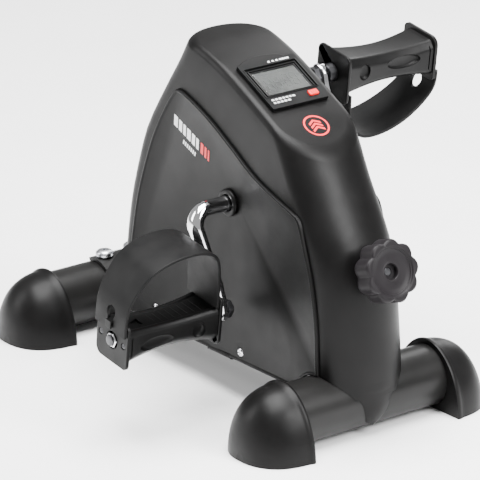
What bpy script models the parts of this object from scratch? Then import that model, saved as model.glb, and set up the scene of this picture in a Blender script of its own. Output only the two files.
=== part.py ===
"""Under-desk pedal exerciser: two foot tubes, a closed housing, a cranked axle with two strapped pedals,
a band brake set by a front knob, and a sloping meter. Metres, +Z up, floor at z = 0, user side towards -Y.
"""

import math

import bmesh
import bpy
from mathutils import Matrix, Vector

for item in list(bpy.data.objects):
    bpy.data.objects.remove(item, do_unlink=True)

# ---- driving dimensions ----------------------------------------------------------------------------
GAP = 0.0003

FOOT_TUBE_RADIUS = 0.025
FOOT_TUBE_WALL = 0.0015
FOOT_TUBE_Z = 0.0265
FOOT_TUBE_HALF = 0.081
FRONT_FOOT_Y = -0.155
REAR_FOOT_Y = 0.170
CAP_RIM_X = 0.071
CAP_END_X = 0.114
CAP_HALF_WIDTH = 0.039
CAP_HEIGHT = 0.0545

CRANK_Y = -0.0455
CRANK_Z = 0.166
CRANK_LENGTH = 0.083
CRANK_LEAN = math.radians(9)
ROD_RADIUS = 0.0064
ARM_HALF_THICK = 0.00425
ARM_HALF_WIDE = 0.0085
ARM_CORNER_X = 0.0785
ARM_EYE_X = 0.0615

HOUSING_BOTTOM = 0.0335
HOUSING_HALF = 0.038
HOUSING_WALL = 0.0026
COLUMN_REACH = 0.025
FACET_EDGE_RADIUS = 0.0045
PANEL_FACE_X = 0.0400
PANEL_RIDGE_X = 0.0407

WHEEL_RADIUS = 0.0685
WHEEL_HALF = 0.011
BAND_THICK = 0.002
BAND_HALF = 0.009
BAND_RADIUS = WHEEL_RADIUS + GAP + BAND_THICK / 2

KNOB_AXIS = Vector((0, -0.952, 0.306)).normalized()
KNOB_SEAT = Vector((0, -0.1757, 0.1346))
KNOB_RADIUS = 0.0253
KNOB_LOBES = 9

METER_CENTRE = Vector((0, -0.063, 0.2597))
METER_TILT = math.radians(26.5)
METER_WIDE = 0.055
METER_TALL = 0.053

PEDAL_INNER = 0.0735
PEDAL_OUTER = 0.1650
PEDAL_PLATE = 0.0030
PEDAL_TILT = math.radians(8.5)

# Front and rear centre lines of the housing as (height, y), and the rear corner depth as (height, depth).
FRONT_LINE = [
    (0.030, -0.1832), (0.060, -0.1820), (0.089, -0.1800), (0.125, -0.1765), (0.150, -0.1690),
    (0.163, -0.1625), (0.176, -0.1548), (0.195, -0.1437), (0.221, -0.1312), (0.300, -0.0965),
]
REAR_LINE = [
    (0.030, 0.1270), (0.083, 0.1185), (0.130, 0.1090), (0.163, 0.0985), (0.197, 0.0850),
    (0.228, 0.0668), (0.254, 0.0500), (0.274, 0.0375), (0.300, 0.0240),
]
REAR_DEPTH = [(0.030, 0.020), (0.197, 0.020), (0.228, 0.024), (0.254, 0.029), (0.274, 0.033), (0.300, 0.037)]
# Centre line of the sloping top as (y, height).
FACET_LINE = [
    (-0.160, 0.201), (-0.1305, 0.2215), (-0.1055, 0.2375), (-0.0865, 0.2480), (-0.0395, 0.2714),
    (-0.0125, 0.2812), (0.0075, 0.2858), (0.0255, 0.2873), (0.0400, 0.2843), (0.0600, 0.2720),
]

# ---- scene helpers ---------------------------------------------------------------------------------
PARTS = bpy.data.collections.new("pedal_exerciser")
CUTTERS = bpy.data.collections.new("cutters")
bpy.context.scene.collection.children.link(PARTS)
bpy.context.scene.collection.children.link(CUTTERS)


def material(name, colour, metallic=0.0, roughness=0.5):
    made = bpy.data.materials.new(name)
    made.use_nodes = True
    shader = made.node_tree.nodes["Principled BSDF"]
    shader.inputs["Base Color"].default_value = (*colour, 1)
    shader.inputs["Metallic"].default_value = metallic
    shader.inputs["Roughness"].default_value = roughness
    made.diffuse_color = (*colour, 1)
    return made


def add_object(name, shape, surface=None, place=None):
    """An object from (points, faces); with no surface it becomes a hidden cutter."""
    points, faces = shape
    mesh = bpy.data.meshes.new(name)
    work = bmesh.new()
    corners = [work.verts.new(point) for point in points]
    for face in faces:
        work.faces.new([corners[index] for index in face])
    bmesh.ops.connect_verts_nonplanar(work, faces=work.faces, angle_limit=math.radians(0.02))
    bmesh.ops.recalc_face_normals(work, faces=work.faces)
    if work.calc_volume(signed=True) < 0:
        bmesh.ops.reverse_faces(work, faces=work.faces)
    work.to_mesh(mesh)
    work.free()
    made = bpy.data.objects.new(name, mesh)
    if place is not None:
        made.matrix_world = place
    if surface is None:
        made.hide_render = True
        made.display_type = "WIRE"
        CUTTERS.objects.link(made)
    else:
        mesh.materials.append(surface)
        PARTS.objects.link(made)
    return made


def combine(target, tool, operation="DIFFERENCE"):
    step = target.modifiers.new(tool.name, "BOOLEAN")
    step.operation = operation
    step.solver = "EXACT"
    step.object = tool
    return target


def bevel(target, width, segments=2, angle=35):
    step = target.modifiers.new("edge", "BEVEL")
    step.width = width
    step.segments = segments
    step.limit_method = "ANGLE"
    step.angle_limit = math.radians(angle)
    return target


def along(origin, axis):
    """A placement whose local +Z lies along the given axis and whose local +X stays level."""
    z = Vector(axis).normalized()
    x = Vector((1, 0, 0)) if abs(z.x) < 0.9 else Vector((0, 1, 0))
    y = z.cross(x).normalized()
    x = y.cross(z)
    turn = Matrix((x, y, z)).transposed().to_4x4()
    return Matrix.Translation(origin) @ turn


# ---- shapes as (points, faces) ---------------------------------------------------------------------
def loft(rings):
    """A closed skin through equal rings of points, with flat ends."""
    count = len(rings[0])
    points = [point for ring in rings for point in ring]
    faces = []
    for level in range(len(rings) - 1):
        low = level * count
        for index in range(count):
            after = (index + 1) % count
            faces.append((low + index, low + after, low + count + after, low + count + index))
    faces.append(tuple(range(count)))
    faces.append(tuple(range(len(points) - count, len(points))))
    return points, faces


def prism(outline, low, high):
    """A (y, z) outline carried along X."""
    return loft([[(x, y, z) for y, z in outline] for x in (low, high)])


def box(low, high):
    (x0, y0, z0), (x1, y1, z1) = low, high
    return prism([(y0, z0), (y1, z0), (y1, z1), (y0, z1)], x0, x1)


def cylinder(radius, low, high, segments=24):
    return loft([circle(radius, height, segments) for height in (low, high)])


def circle(radius, height, segments=24, start=0.0):
    turns = [start + 2 * math.pi * index / segments for index in range(segments)]
    return [(radius * math.cos(turn), radius * math.sin(turn), height) for turn in turns]


def stack(steps, segments=24, start=0.0):
    """A solid of revolution about local Z from (radius, height) steps."""
    return loft([circle(radius, height, segments, start) for radius, height in steps])


def sleeve(steps, segments=24):
    """A ring-shaped solid of revolution from a closed (radius, height) section."""
    rings = [circle(radius, height, segments) for radius, height in steps]
    points = [point for ring in rings for point in ring]
    faces = []
    for level in range(len(rings)):
        low = level * segments
        high = (level + 1) % len(rings) * segments
        for index in range(segments):
            after = (index + 1) % segments
            faces.append((low + index, low + after, high + after, high + index))
    return points, faces


def ribbon(path, thick):
    """A flat strip: (a, b, half width) centre points thickened in their plane, carried across it."""
    rings = []
    for index, (a, b, wide) in enumerate(path):
        before = path[max(index - 1, 0)]
        after = path[min(index + 1, len(path) - 1)]
        run = Vector((after[0] - before[0], after[1] - before[1])).normalized()
        side = Vector((-run.y, run.x)) * thick / 2
        rings.append([
            (a + side.x, b + side.y, -wide), (a + side.x, b + side.y, wide),
            (a - side.x, b - side.y, wide), (a - side.x, b - side.y, -wide),
        ])
    return loft(rings)


def reorder(shape, order):
    """The shape with its coordinates picked in a new order, such as (2, 0, 1)."""
    points, faces = shape
    return [tuple(point[index] for index in order) for point in points], faces


def flipped(shape, sign):
    points, faces = shape
    return [(sign * x, y, z) for x, y, z in points], faces


def arc(centre, radius, start, end, steps):
    turns = [math.radians(start + (end - start) * index / steps) for index in range(steps + 1)]
    return [(centre[0] + radius * math.cos(turn), centre[1] + radius * math.sin(turn)) for turn in turns]


def smooth(table, where):
    """Height of a smooth curve through a table of (position, value) rows."""
    if where <= table[0][0]:
        return table[0][1]
    if where >= table[-1][0]:
        return table[-1][1]
    row = max(index for index in range(len(table) - 1) if table[index][0] <= where)
    slopes = []
    for index in (row, row + 1):
        low = table[max(index - 1, 0)]
        high = table[min(index + 1, len(table) - 1)]
        slopes.append((high[1] - low[1]) / (high[0] - low[0]))
    (p0, v0), (p1, v1) = table[row], table[row + 1]
    span = p1 - p0
    t = (where - p0) / span
    value = (2 * t**3 - 3 * t**2 + 1) * v0 + (t**3 - 2 * t**2 + t) * span * slopes[0]
    return value + (-2 * t**3 + 3 * t**2) * v1 + (t**3 - t**2) * span * slopes[1]


# ---- materials -------------------------------------------------------------------------------------
SHELL_PLASTIC = material("satin_black_abs", (0.020, 0.020, 0.020), 0, 0.38)
TEXTURED_PLASTIC = material("textured_black_pp", (0.022, 0.022, 0.022), 0, 0.5)
RUBBER = material("black_rubber", (0.016, 0.016, 0.017), 0, 0.6)
STRAP_VINYL = material("black_pvc", (0.020, 0.020, 0.021), 0, 0.45)
KNOB_PLASTIC = material("dark_grey_abs", (0.055, 0.050, 0.055), 0, 0.42)
PAINTED_STEEL = material("black_painted_steel", (0.022, 0.022, 0.022), 0.2, 0.4)
CHROME = material("chromed_steel", (0.75, 0.75, 0.76), 1, 0.12)
ZINC = material("zinc_plated_steel", (0.55, 0.56, 0.58), 1, 0.3)
CAST_IRON = material("cast_iron", (0.16, 0.16, 0.17), 1, 0.5)
BRONZE = material("sintered_bronze", (0.45, 0.30, 0.14), 1, 0.45)
SPRING_STEEL = material("felt_lined_band", (0.25, 0.25, 0.25), 0.8, 0.5)
BUTTON_RED = material("red_rubber", (0.80, 0.04, 0.04), 0, 0.5)
WINDOW_CLEAR = material("clear_acrylic", (0.8, 0.85, 0.85), 0, 0.1)
LCD_GREY = material("lcd_grey", (0.16, 0.16, 0.16), 0, 0.3)
BOARD_GREEN = material("circuit_board", (0.02, 0.20, 0.06), 0, 0.5)
CELL_STEEL = material("cell_can", (0.6, 0.6, 0.62), 1, 0.3)

# ---- foot tubes and end caps -----------------------------------------------------------------------
for label, foot_y in (("front", FRONT_FOOT_Y), ("rear", REAR_FOOT_Y)):
    tube_section = [
        (FOOT_TUBE_RADIUS, -FOOT_TUBE_HALF), (FOOT_TUBE_RADIUS, FOOT_TUBE_HALF),
        (FOOT_TUBE_RADIUS - FOOT_TUBE_WALL, FOOT_TUBE_HALF), (FOOT_TUBE_RADIUS - FOOT_TUBE_WALL, -FOOT_TUBE_HALF),
    ]
    tube = add_object(
        label + "_foot_tube", sleeve(tube_section, 32), PAINTED_STEEL,
        along((0, foot_y, FOOT_TUBE_Z), (1, 0, 0)),
    )
    for side, sign in (("left", -1), ("right", 1)):
        bolt_place = Matrix.Translation((sign * 0.014, foot_y, 0))
        bolt_hole = add_object(
            f"{label}_{side}_bolt_hole", cylinder(0.0043, 0.035, 0.070, 16), place=bolt_place,
        )
        combine(tube, bolt_hole)
        bolt = add_object(
            f"{label}_{side}_foot_bolt",
            stack([(0.0040, 0.040), (0.0040, 0.0552), (0.0075, 0.0552), (0.0075, 0.0596), (0.0066, 0.0606)], 12),
            ZINC, bolt_place,
        )

        rings = []
        stations = [
            (0.0710, 1.030), (0.0745, 1.020), (0.0765, 1.000), (0.0860, 0.975), (0.0960, 0.895),
            (0.1045, 0.745), (0.1105, 0.540), (0.1140, 0.260),
        ]
        for x, scale in stations:
            sweep = [math.pi * index / 16 for index in range(17)]
            rings.append([
                (
                    sign * x,
                    foot_y + CAP_HALF_WIDTH * scale * math.cos(turn),
                    CAP_HEIGHT * scale * math.sin(turn),
                )
                for turn in sweep
            ])
        cap = add_object(f"{label}_{side}_foot_cap", loft(rings), RUBBER)
        socket = add_object(
            f"{label}_{side}_socket",
            cylinder(FOOT_TUBE_RADIUS + GAP, 0.060, FOOT_TUBE_HALF + GAP, 32),
            place=along((0, foot_y, FOOT_TUBE_Z), (sign, 0, 0)),
        )
        combine(cap, socket)

# ---- steel frame -----------------------------------------------------------------------------------
BEAM_LOW = 0.0365
BEAM_HIGH = 0.0585
beam_front = FRONT_FOOT_Y + 0.0287
beam_rear = REAR_FOOT_Y - 0.0287
beam = add_object(
    "base_beam", box((-0.0194, beam_front, BEAM_LOW), (0.0194, beam_rear, BEAM_HIGH)), PAINTED_STEEL,
)
beam_bore = add_object(
    "beam_bore",
    box((-0.0176, beam_front - 0.01, BEAM_LOW + 0.0018), (0.0176, beam_rear + 0.01, BEAM_HIGH - 0.0018)),
)
combine(beam, beam_bore)

for label, foot_y, start, end in (
    ("front", FRONT_FOOT_Y, 108, -14),
    ("rear", REAR_FOOT_Y, 72, 194),
):
    inner = arc((foot_y, FOOT_TUBE_Z), FOOT_TUBE_RADIUS + GAP, start, end, 10)
    outer = arc((foot_y, FOOT_TUBE_Z), FOOT_TUBE_RADIUS + GAP + 0.003, end, start, 10)
    saddle = add_object(label + "_saddle", prism(inner + outer, -0.024, 0.024), PAINTED_STEEL)
    for side in ("left", "right"):
        combine(saddle, bpy.data.objects[f"{label}_{side}_bolt_hole"])

UPRIGHT_OUTLINE = [
    (-0.126, 0.042), (0.028, 0.042), (0.028, 0.060), (-0.010, 0.094), (-0.020, 0.160), (-0.030, 0.2215),
    (-0.058, 0.2215), (-0.069, 0.190), (-0.128, 0.184), (-0.130, 0.150), (-0.126, 0.100),
]
BAND_ANCHOR = Vector((
    0,
    CRANK_Y + (BAND_RADIUS + 0.0043) * math.cos(math.radians(175)),
    CRANK_Z + (BAND_RADIUS + 0.0043) * math.sin(math.radians(175)),
))
for side, sign in (("left", -1), ("right", 1)):
    upright = add_object(
        side + "_upright",
        flipped(prism(UPRIGHT_OUTLINE, 0.0197, 0.0227), sign), PAINTED_STEEL,
    )
    bearing_hole = add_object(
        side + "_bearing_hole", cylinder(0.0114, 0.015, 0.030),
        place=along((0, CRANK_Y, CRANK_Z), (sign, 0, 0)),
    )
    anchor_hole = add_object(
        side + "_anchor_hole", cylinder(0.0033, 0.015, 0.030, 12), place=along(BAND_ANCHOR, (sign, 0, 0)),
    )
    combine(upright, bearing_hole)
    combine(upright, anchor_hole)
    add_object(
        side + "_bearing",
        sleeve([
            (0.0110, 0.0180), (0.0110, 0.0230), (0.0150, 0.0230), (0.0150, 0.0260), (0.0110, 0.0260),
            (0.0110, 0.0300), (ROD_RADIUS + GAP, 0.0300), (ROD_RADIUS + GAP, 0.0180),
        ], 18),
        BRONZE, along((0, CRANK_Y, CRANK_Z), (sign, 0, 0)),
    )

add_object(
    "band_anchor_bolt",
    stack([(0.0030, -0.0270), (0.0030, 0.0230), (0.0056, 0.0230), (0.0056, 0.0268)], 12),
    ZINC, along(BAND_ANCHOR, (1, 0, 0)),
)

# ---- crank: one bent bar, round through the bearings and flattened along both arms --------------------
crank_place = Matrix.Translation((0, CRANK_Y, CRANK_Z)) @ Matrix.Rotation(-CRANK_LEAN, 4, "X")


def arm_path():
    """(x, radial distance, half thickness, half width) from the axle out to the tip of the right arm."""
    steps = [(0.0, 0.0, ROD_RADIUS, ROD_RADIUS), (0.050, 0.0, ROD_RADIUS, ROD_RADIUS)]
    run = Vector((ARM_EYE_X - ARM_CORNER_X, 0.068))
    direction = run.normalized()
    bend = 0.0125
    turn_total = math.atan2(direction.y, direction.x)
    reach = bend * math.tan(turn_total / 2)
    start = Vector((ARM_CORNER_X - reach, 0))
    for index in range(7):
        turn = turn_total * index / 6
        spot = start + Vector((bend * math.sin(turn), bend * (1 - math.cos(turn))))
        blend = index / 6
        thick = ROD_RADIUS * (1 - blend) + 0.0052 * blend
        wide = ROD_RADIUS * (1 - blend) + 0.0080 * blend
        steps.append((spot.x, spot.y, thick, wide))
    corner = Vector((ARM_CORNER_X, 0))
    for portion in (0.55, 0.90):
        spot = corner + run * portion
        steps.append((spot.x, spot.y, ARM_HALF_THICK, ARM_HALF_WIDE))
    steps.append((ARM_EYE_X, 0.074, ARM_HALF_THICK, ARM_HALF_WIDE))
    for turn in (0, 30, 55, 75):
        angle = math.radians(turn)
        thick = ARM_HALF_THICK * (1 if turn < 60 else 0.93 if turn < 70 else 0.75)
        spot = CRANK_LENGTH + 0.0095 * math.sin(angle)
        steps.append((ARM_EYE_X, spot, thick, ARM_HALF_WIDE * math.cos(angle)))
    return steps


right_half = arm_path()
left_half = [(-x, -r, thick, wide) for x, r, thick, wide in reversed(right_half)]
bar = left_half[:-1] + right_half
rings = []
for index, (x, r, thick, wide) in enumerate(bar):
    before = bar[max(index - 1, 0)]
    after = bar[min(index + 1, len(bar) - 1)]
    run = Vector((after[0] - before[0], after[1] - before[1])).normalized()
    side = Vector((-run.y, run.x))
    ring = []
    for step in range(12):
        turn = 2 * math.pi * step / 12
        lift = thick * math.cos(turn)
        ring.append((x + side.x * lift, wide * math.sin(turn), r + side.y * lift))
    rings.append(ring)
crank = add_object("crank", loft(rings), CHROME, crank_place)
for side, sign in (("left", -1), ("right", 1)):
    eye = add_object(
        side + "_crank_eye", cylinder(0.0048, 0.050, 0.072, 20),
        place=crank_place @ along((0, 0, sign * CRANK_LENGTH), (sign, 0, 0)),
    )
    combine(crank, eye)

# ---- band brake ------------------------------------------------------------------------------------
axle_place = along((0, CRANK_Y, CRANK_Z), (1, 0, 0))
wheel = add_object(
    "brake_wheel",
    sleeve([
        (0.0067, -0.0140), (0.0165, -0.0140), (0.0180, -0.0025), (0.0620, -0.0025), (0.0630, -0.0110),
        (0.0685, -0.0110), (0.0685, 0.0110), (0.0630, 0.0110), (0.0620, 0.0025), (0.0180, 0.0025),
        (0.0165, 0.0140), (0.0067, 0.0140),
    ], 36),
    CAST_IRON, axle_place,
)
add_object(
    "wheel_magnet", cylinder(0.0040, 0.0028, 0.0058, 16), CELL_STEEL,
    along((0, CRANK_Y, CRANK_Z + 0.045), (1, 0, 0)),
)

draw = Vector((KNOB_AXIS.y, KNOB_AXIS.z))
centre = Vector((CRANK_Y, CRANK_Z))
leave = centre + BAND_RADIUS * Vector((-draw.y, draw.x))
leave_angle = math.degrees(math.atan2(draw.x, -draw.y))
band_path = [(leave + draw * 0.0385), (leave + draw * 0.020)]
band_path += [Vector(spot) for spot in arc(centre, BAND_RADIUS + 0.0002, leave_angle, 175, 36)]
band_path += [Vector(spot) for spot in arc((BAND_ANCHOR.y, BAND_ANCHOR.z), 0.0043, -5, -205, 8)][1:]
add_object(
    "brake_band",
    reorder(ribbon([(spot.x, spot.y, BAND_HALF) for spot in band_path], BAND_THICK), (2, 0, 1)),
    SPRING_STEEL,
)

screw_start = Vector((0, leave.x, leave.y))
screw_place = along(screw_start, KNOB_AXIS)
seat_height = (KNOB_SEAT - screw_start).dot(KNOB_AXIS)
slider = add_object(
    "tension_slider", box((-0.0175, -0.0065, 0.0390), (0.0175, 0.0065, 0.0540)), ZINC, screw_place,
)
bevel(slider, 0.0012, 1)
slider_bore = add_object("slider_bore", cylinder(0.0033, 0.0370, 0.060, 16), place=screw_place)
combine(slider, slider_bore)
add_object(
    "tension_screw",
    stack([(0.0024, 0.0415), (0.0030, 0.0425), (0.0030, seat_height + 0.0200)], 16),
    ZINC, screw_place,
)
seat_place = screw_place @ Matrix.Translation((0, 0, seat_height))
add_object(
    "knob_collar",
    sleeve([
        (0.0033, -0.0100), (0.0090, -0.0100), (0.0090, 0.0040), (0.0175, 0.0040), (0.0185, 0.0050),
        (0.0175, 0.0092), (0.0033, 0.0092),
    ], 24),
    TEXTURED_PLASTIC, seat_place,
)


def lobed_ring(radius, height, depth):
    ring = []
    for step in range(54):
        turn = 2 * math.pi * step / 54
        wave = 0.5 + 0.5 * math.cos(KNOB_LOBES * turn)
        reach = radius - depth * (1 - wave**1.2)
        ring.append((reach * math.cos(turn), reach * math.sin(turn), height))
    return ring


knob = add_object(
    "tension_knob",
    loft([
        lobed_ring(KNOB_RADIUS - 0.0025, 0.0095, 0.0018), lobed_ring(KNOB_RADIUS - 0.0004, 0.0125, 0.0026),
        lobed_ring(KNOB_RADIUS, 0.0262, 0.0026), lobed_ring(KNOB_RADIUS - 0.0012, 0.0276, 0.0022),
    ]),
    KNOB_PLASTIC, seat_place,
)
knob_dish = add_object(
    "knob_dish",
    stack([(0.0066, 0.0205), (0.0066, 0.0242), (0.0178, 0.0256), (0.0184, 0.0272), (0.0200, 0.0272),
           (0.0204, 0.0300)], 28),
    place=seat_place,
)
knob_bore = add_object("knob_bore", cylinder(0.0033, 0.005, 0.0195, 16), place=seat_place)
knob_bore_deep = add_object("knob_bore_deep", cylinder(0.0033, 0.0190, 0.0203, 16), place=seat_place)
combine(knob, knob_dish)
combine(knob, knob_bore)
combine(knob, knob_bore_deep)

# ---- housing shroud --------------------------------------------------------------------------------
STATIONS = [("front", math.pi / 2 * index / 7) for index in range(8)]
STATIONS += [("side", index / 6) for index in range(1, 6)]
STATIONS += [("rear", math.pi / 2 * index / 6) for index in range(7)]


def side_point(station, height, inset):
    """(x, y) on the right-hand outline of the housing at one height."""
    kind, value = station
    half = HOUSING_HALF - inset
    front_root = smooth(FRONT_LINE, height) + COLUMN_REACH
    depth = smooth(REAR_DEPTH, height)
    rear_root = smooth(REAR_LINE, height) - depth
    if kind == "front":
        return half * math.sin(value), front_root - (COLUMN_REACH - inset) * math.cos(value)
    if kind == "side":
        return half, front_root + (rear_root - front_root) * value
    return half * math.cos(value), rear_root + (depth - inset) * math.sin(value)


def top_height(y, drop):
    return smooth(FACET_LINE, y) - drop


def edge_height(station, inset, drop):
    """Height at which the outline meets the sloping top."""
    low, high = 0.10, 0.30
    for _ in range(30):
        middle = (low + high) / 2
        if middle < top_height(side_point(station, middle, inset)[1], drop):
            low = middle
        else:
            high = middle
    return low


def housing_solid(bottom, inset, drop, radius):
    rings = []
    for level in (0, 0.22, 0.44, 0.64, 0.84):
        half_ring = []
        for station in STATIONS:
            top = edge_height(station, inset, drop) - radius
            height = bottom + (top - bottom) * level
            half_ring.append((*side_point(station, height, inset), height))
        rings.append(half_ring)
    for turn in (0, 30, 60, 90):
        angle = math.radians(turn)
        pull = inset + radius * (1 - math.cos(angle))
        half_ring = []
        for station in STATIONS:
            top = edge_height(station, pull, drop)
            x, y = side_point(station, top - radius * (1 - math.sin(angle)), pull)
            half_ring.append((x, y, top_height(y, drop) - radius * (1 - math.sin(angle))))
        rings.append(half_ring)
    full = [ring + [(-x, y, z) for x, y, z in reversed(ring[1:-1])] for ring in rings]
    points, faces = loft(full)
    faces = faces[:-2]
    count = len(full[0])
    for base in (0, len(points) - count):
        for index in range(count // 2):
            right = base + index
            left = base + (count - index) % count
            corners = [right, right + 1, base + (count - index - 1) % count, left]
            faces.append(tuple(dict.fromkeys(corners)))
    return points, faces


shroud = add_object(
    "housing_shroud", housing_solid(HOUSING_BOTTOM, 0, 0, FACET_EDGE_RADIUS), SHELL_PLASTIC,
)
skirt_rings = []
for height, half in (
    (0.0085, 0.0055), (0.0110, 0.0115), (0.0160, 0.0188), (0.0230, 0.0265), (0.0320, 0.0330),
    (0.0365, 0.0355), (0.0450, 0.0374),
):
    drop = min(height - FOOT_TUBE_Z, 0)
    front = FRONT_FOOT_Y - math.sqrt(0.0277**2 - drop**2)
    reach = -0.158 - front
    half_ring = [
        (half * math.sin(math.pi * index / 12), -0.158 - reach * math.cos(math.pi * index / 12), height)
        for index in range(-6, 7)
    ]
    skirt_rings.append(half_ring + [(half, -0.150, height), (-half, -0.150, height)])
skirt = add_object("column_skirt", loft(skirt_rings))
cavity = add_object(
    "housing_cavity", housing_solid(0.030, HOUSING_WALL, HOUSING_WALL * 1.12, 0.0020),
)
combine(shroud, skirt, "UNION")
front_tube_space = add_object(
    "front_tube_space", cylinder(FOOT_TUBE_RADIUS + GAP, -0.07, 0.07, 40),
    place=along((0, FRONT_FOOT_Y, FOOT_TUBE_Z), (1, 0, 0)),
)
combine(shroud, front_tube_space)
combine(shroud, cavity)
collar_hole = add_object("collar_hole", cylinder(0.0093, -0.02, 0.02), place=seat_place)
combine(shroud, collar_hole)
beam_opening = add_object("beam_opening", box((-0.0205, 0.090, 0.020), (0.0205, 0.160, 0.0620)))
combine(shroud, beam_opening)

# ---- side covers -----------------------------------------------------------------------------------
TUBE_EDGE = arc((FRONT_FOOT_Y, FOOT_TUBE_Z), FOOT_TUBE_RADIUS + GAP, 94, 16.5, 8)
BOTTOM_TAB = [(-0.0450, 0.0337), (-0.0450, 0.0325), (-0.0120, 0.0325), (-0.0120, 0.0337)]
UPPER_EDGE = [
    (0.1015, 0.0337), (0.0985, 0.0600), (0.0945, 0.0830), (0.0840, 0.1300), (0.0725, 0.1630),
    (0.0570, 0.1970), (0.0385, 0.2260), (0.0260, 0.2410), (0.0190, 0.2430), (0.0100, 0.2405),
    (-0.0035, 0.2355), (-0.0235, 0.2265), (-0.0495, 0.2120), (-0.0805, 0.1945), (-0.1260, 0.1790),
    (-0.1325, 0.1760), (-0.1360, 0.1715), (-0.1395, 0.1620), (-0.1510, 0.1255), (-0.1560, 0.0900),
]
COVER_OUTLINE = TUBE_EDGE + BOTTOM_TAB + UPPER_EDGE
FIELD_OUTLINE = TUBE_EDGE + UPPER_EDGE


def offset_outline(outline, distance):
    """The outline grown outwards by a distance; it runs anticlockwise with y to the right and z up."""
    grown = []
    for index, spot in enumerate(outline):
        before = Vector(outline[index - 1])
        here = Vector(spot)
        after = Vector(outline[(index + 1) % len(outline)])
        first = (here - before).normalized()
        second = (after - here).normalized()
        normal_a = Vector((first.y, -first.x))
        normal_b = Vector((second.y, -second.x))
        middle = (normal_a + normal_b).normalized()
        grown.append(tuple(here + middle * distance / max(middle.dot(normal_a), 0.5)))
    return grown


SCREW_SPOTS = [(-0.0560, 0.0420), (0.0600, 0.0465)]
opening_outline = offset_outline(COVER_OUTLINE, GAP)
for side, sign in (("left", -1), ("right", 1)):
    opening = add_object(side + "_cover_opening", flipped(prism(opening_outline, 0.030, 0.045), sign))
    combine(shroud, opening)
    cover = add_object(
        side + "_side_cover", flipped(prism(COVER_OUTLINE, 0.0376, PANEL_RIDGE_X), sign), SHELL_PLASTIC,
    )
    field = add_object(
        side + "_cover_field",
        flipped(prism(offset_outline(FIELD_OUTLINE, -0.0028), PANEL_FACE_X, 0.045), sign),
    )
    combine(cover, field)
    hub_hole = add_object(
        side + "_hub_hole", cylinder(0.0089, 0.030, 0.045, 22),
        place=along((0, CRANK_Y, CRANK_Z), (sign, 0, 0)),
    )
    combine(cover, hub_hole)
    add_object(
        side + "_hub_ring",
        sleeve([
            (0.0068, 0.0345), (0.0085, 0.0345), (0.0085, 0.0403), (0.0106, 0.0403), (0.0106, 0.0426),
            (0.0098, 0.0434), (0.0068, 0.0434),
        ], 22),
        RUBBER, along((0, CRANK_Y, CRANK_Z), (sign, 0, 0)),
    )
    for number, (y, z) in enumerate(SCREW_SPOTS, 1):
        spot = along((0, y, z), (sign, 0, 0))
        post = add_object(f"{side}_screw_post_{number}", cylinder(0.0045, 0.0230, 0.0384, 12), place=spot)
        pilot = add_object(f"{side}_screw_pilot_{number}", cylinder(0.0023, 0.010, 0.050, 8), place=spot)
        seat = add_object(f"{side}_screw_seat_{number}", cylinder(0.0042, 0.0388, 0.050, 12), place=spot)
        combine(cover, post, "UNION")
        combine(cover, pilot)
        combine(cover, seat)
        combine(beam, pilot)
        combine(bpy.data.objects[side + "_upright"], pilot)
        add_object(
            f"{side}_cover_screw_{number}",
            stack([(0.0012, 0.0150), (0.0019, 0.0165), (0.0019, 0.0391), (0.0038, 0.0391), (0.0036, 0.0402),
                   (0.0022, 0.0408)], 10),
            CHROME, spot,
        )

# ---- meter -----------------------------------------------------------------------------------------
meter_place = Matrix.Translation(METER_CENTRE) @ Matrix.Rotation(METER_TILT, 4, "X")


def slab(wide, tall, low, high, shift=(0, 0)):
    x, y = shift
    return box((x - wide / 2, y - tall / 2, low), (x + wide / 2, y + tall / 2, high))


meter_opening = add_object("meter_opening", slab(0.0492, 0.0472, -0.02, 0.02), place=meter_place)
combine(shroud, meter_opening)
meter_recess = add_object("meter_recess", slab(0.0556, 0.0536, 0.0, 0.012), place=meter_place)
combine(shroud, meter_recess)
case = add_object("meter_case", slab(METER_WIDE, METER_TALL, 0.0003, 0.0034), TEXTURED_PLASTIC, meter_place)
case_body = add_object("meter_case_body", slab(0.0485, 0.0465, -0.0125, 0.0010), place=meter_place)
case_hollow = add_object("meter_case_hollow", slab(0.0455, 0.0435, -0.020, 0.0006), place=meter_place)
window_seat = add_object("meter_window_seat", slab(0.0510, 0.0340, 0.0020, 0.0100, (0, 0.0035)), place=meter_place)
lcd_seat = add_object("meter_lcd_seat", slab(0.0414, 0.0271, -0.005, 0.0100, (0.0003, 0.0023)), place=meter_place)
button_hole = add_object("meter_button_hole", slab(0.0094, 0.0058, -0.005, 0.0100, (0.0163, -0.0191)),
                         place=meter_place)
bevel(case, 0.0012, 2)
combine(case, case_body, "UNION")
combine(case, case_hollow)
combine(case, window_seat)
combine(case, lcd_seat)
combine(case, button_hole)
add_object("meter_window", slab(0.0504, 0.0334, 0.0023, 0.0033, (0, 0.0035)), WINDOW_CLEAR, meter_place)
add_object("lcd_panel", slab(0.0408, 0.0265, -0.0010, 0.0019, (0.0003, 0.0023)), LCD_GREY, meter_place)
add_object("meter_board", slab(0.0440, 0.0420, -0.0060, -0.0044), BOARD_GREEN, meter_place)
add_object(
    "button_cell", cylinder(0.0058, -0.0118, -0.0063, 24), CELL_STEEL,
    meter_place @ Matrix.Translation((-0.012, -0.010, 0)),
)
button = add_object(
    "mode_button", slab(0.0088, 0.0052, -0.0022, 0.0048, (0.0163, -0.0191)), BUTTON_RED, meter_place,
)
bevel(button, 0.0006, 2)

sensor_place = Matrix.Translation((0.0140, CRANK_Y, CRANK_Z + 0.045))
sensor = add_object("speed_sensor", box((-0.0058, -0.004, -0.009), (0.0054, 0.004, 0.009)), TEXTURED_PLASTIC,
                    sensor_place)
bevel(sensor, 0.0008, 1)

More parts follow.
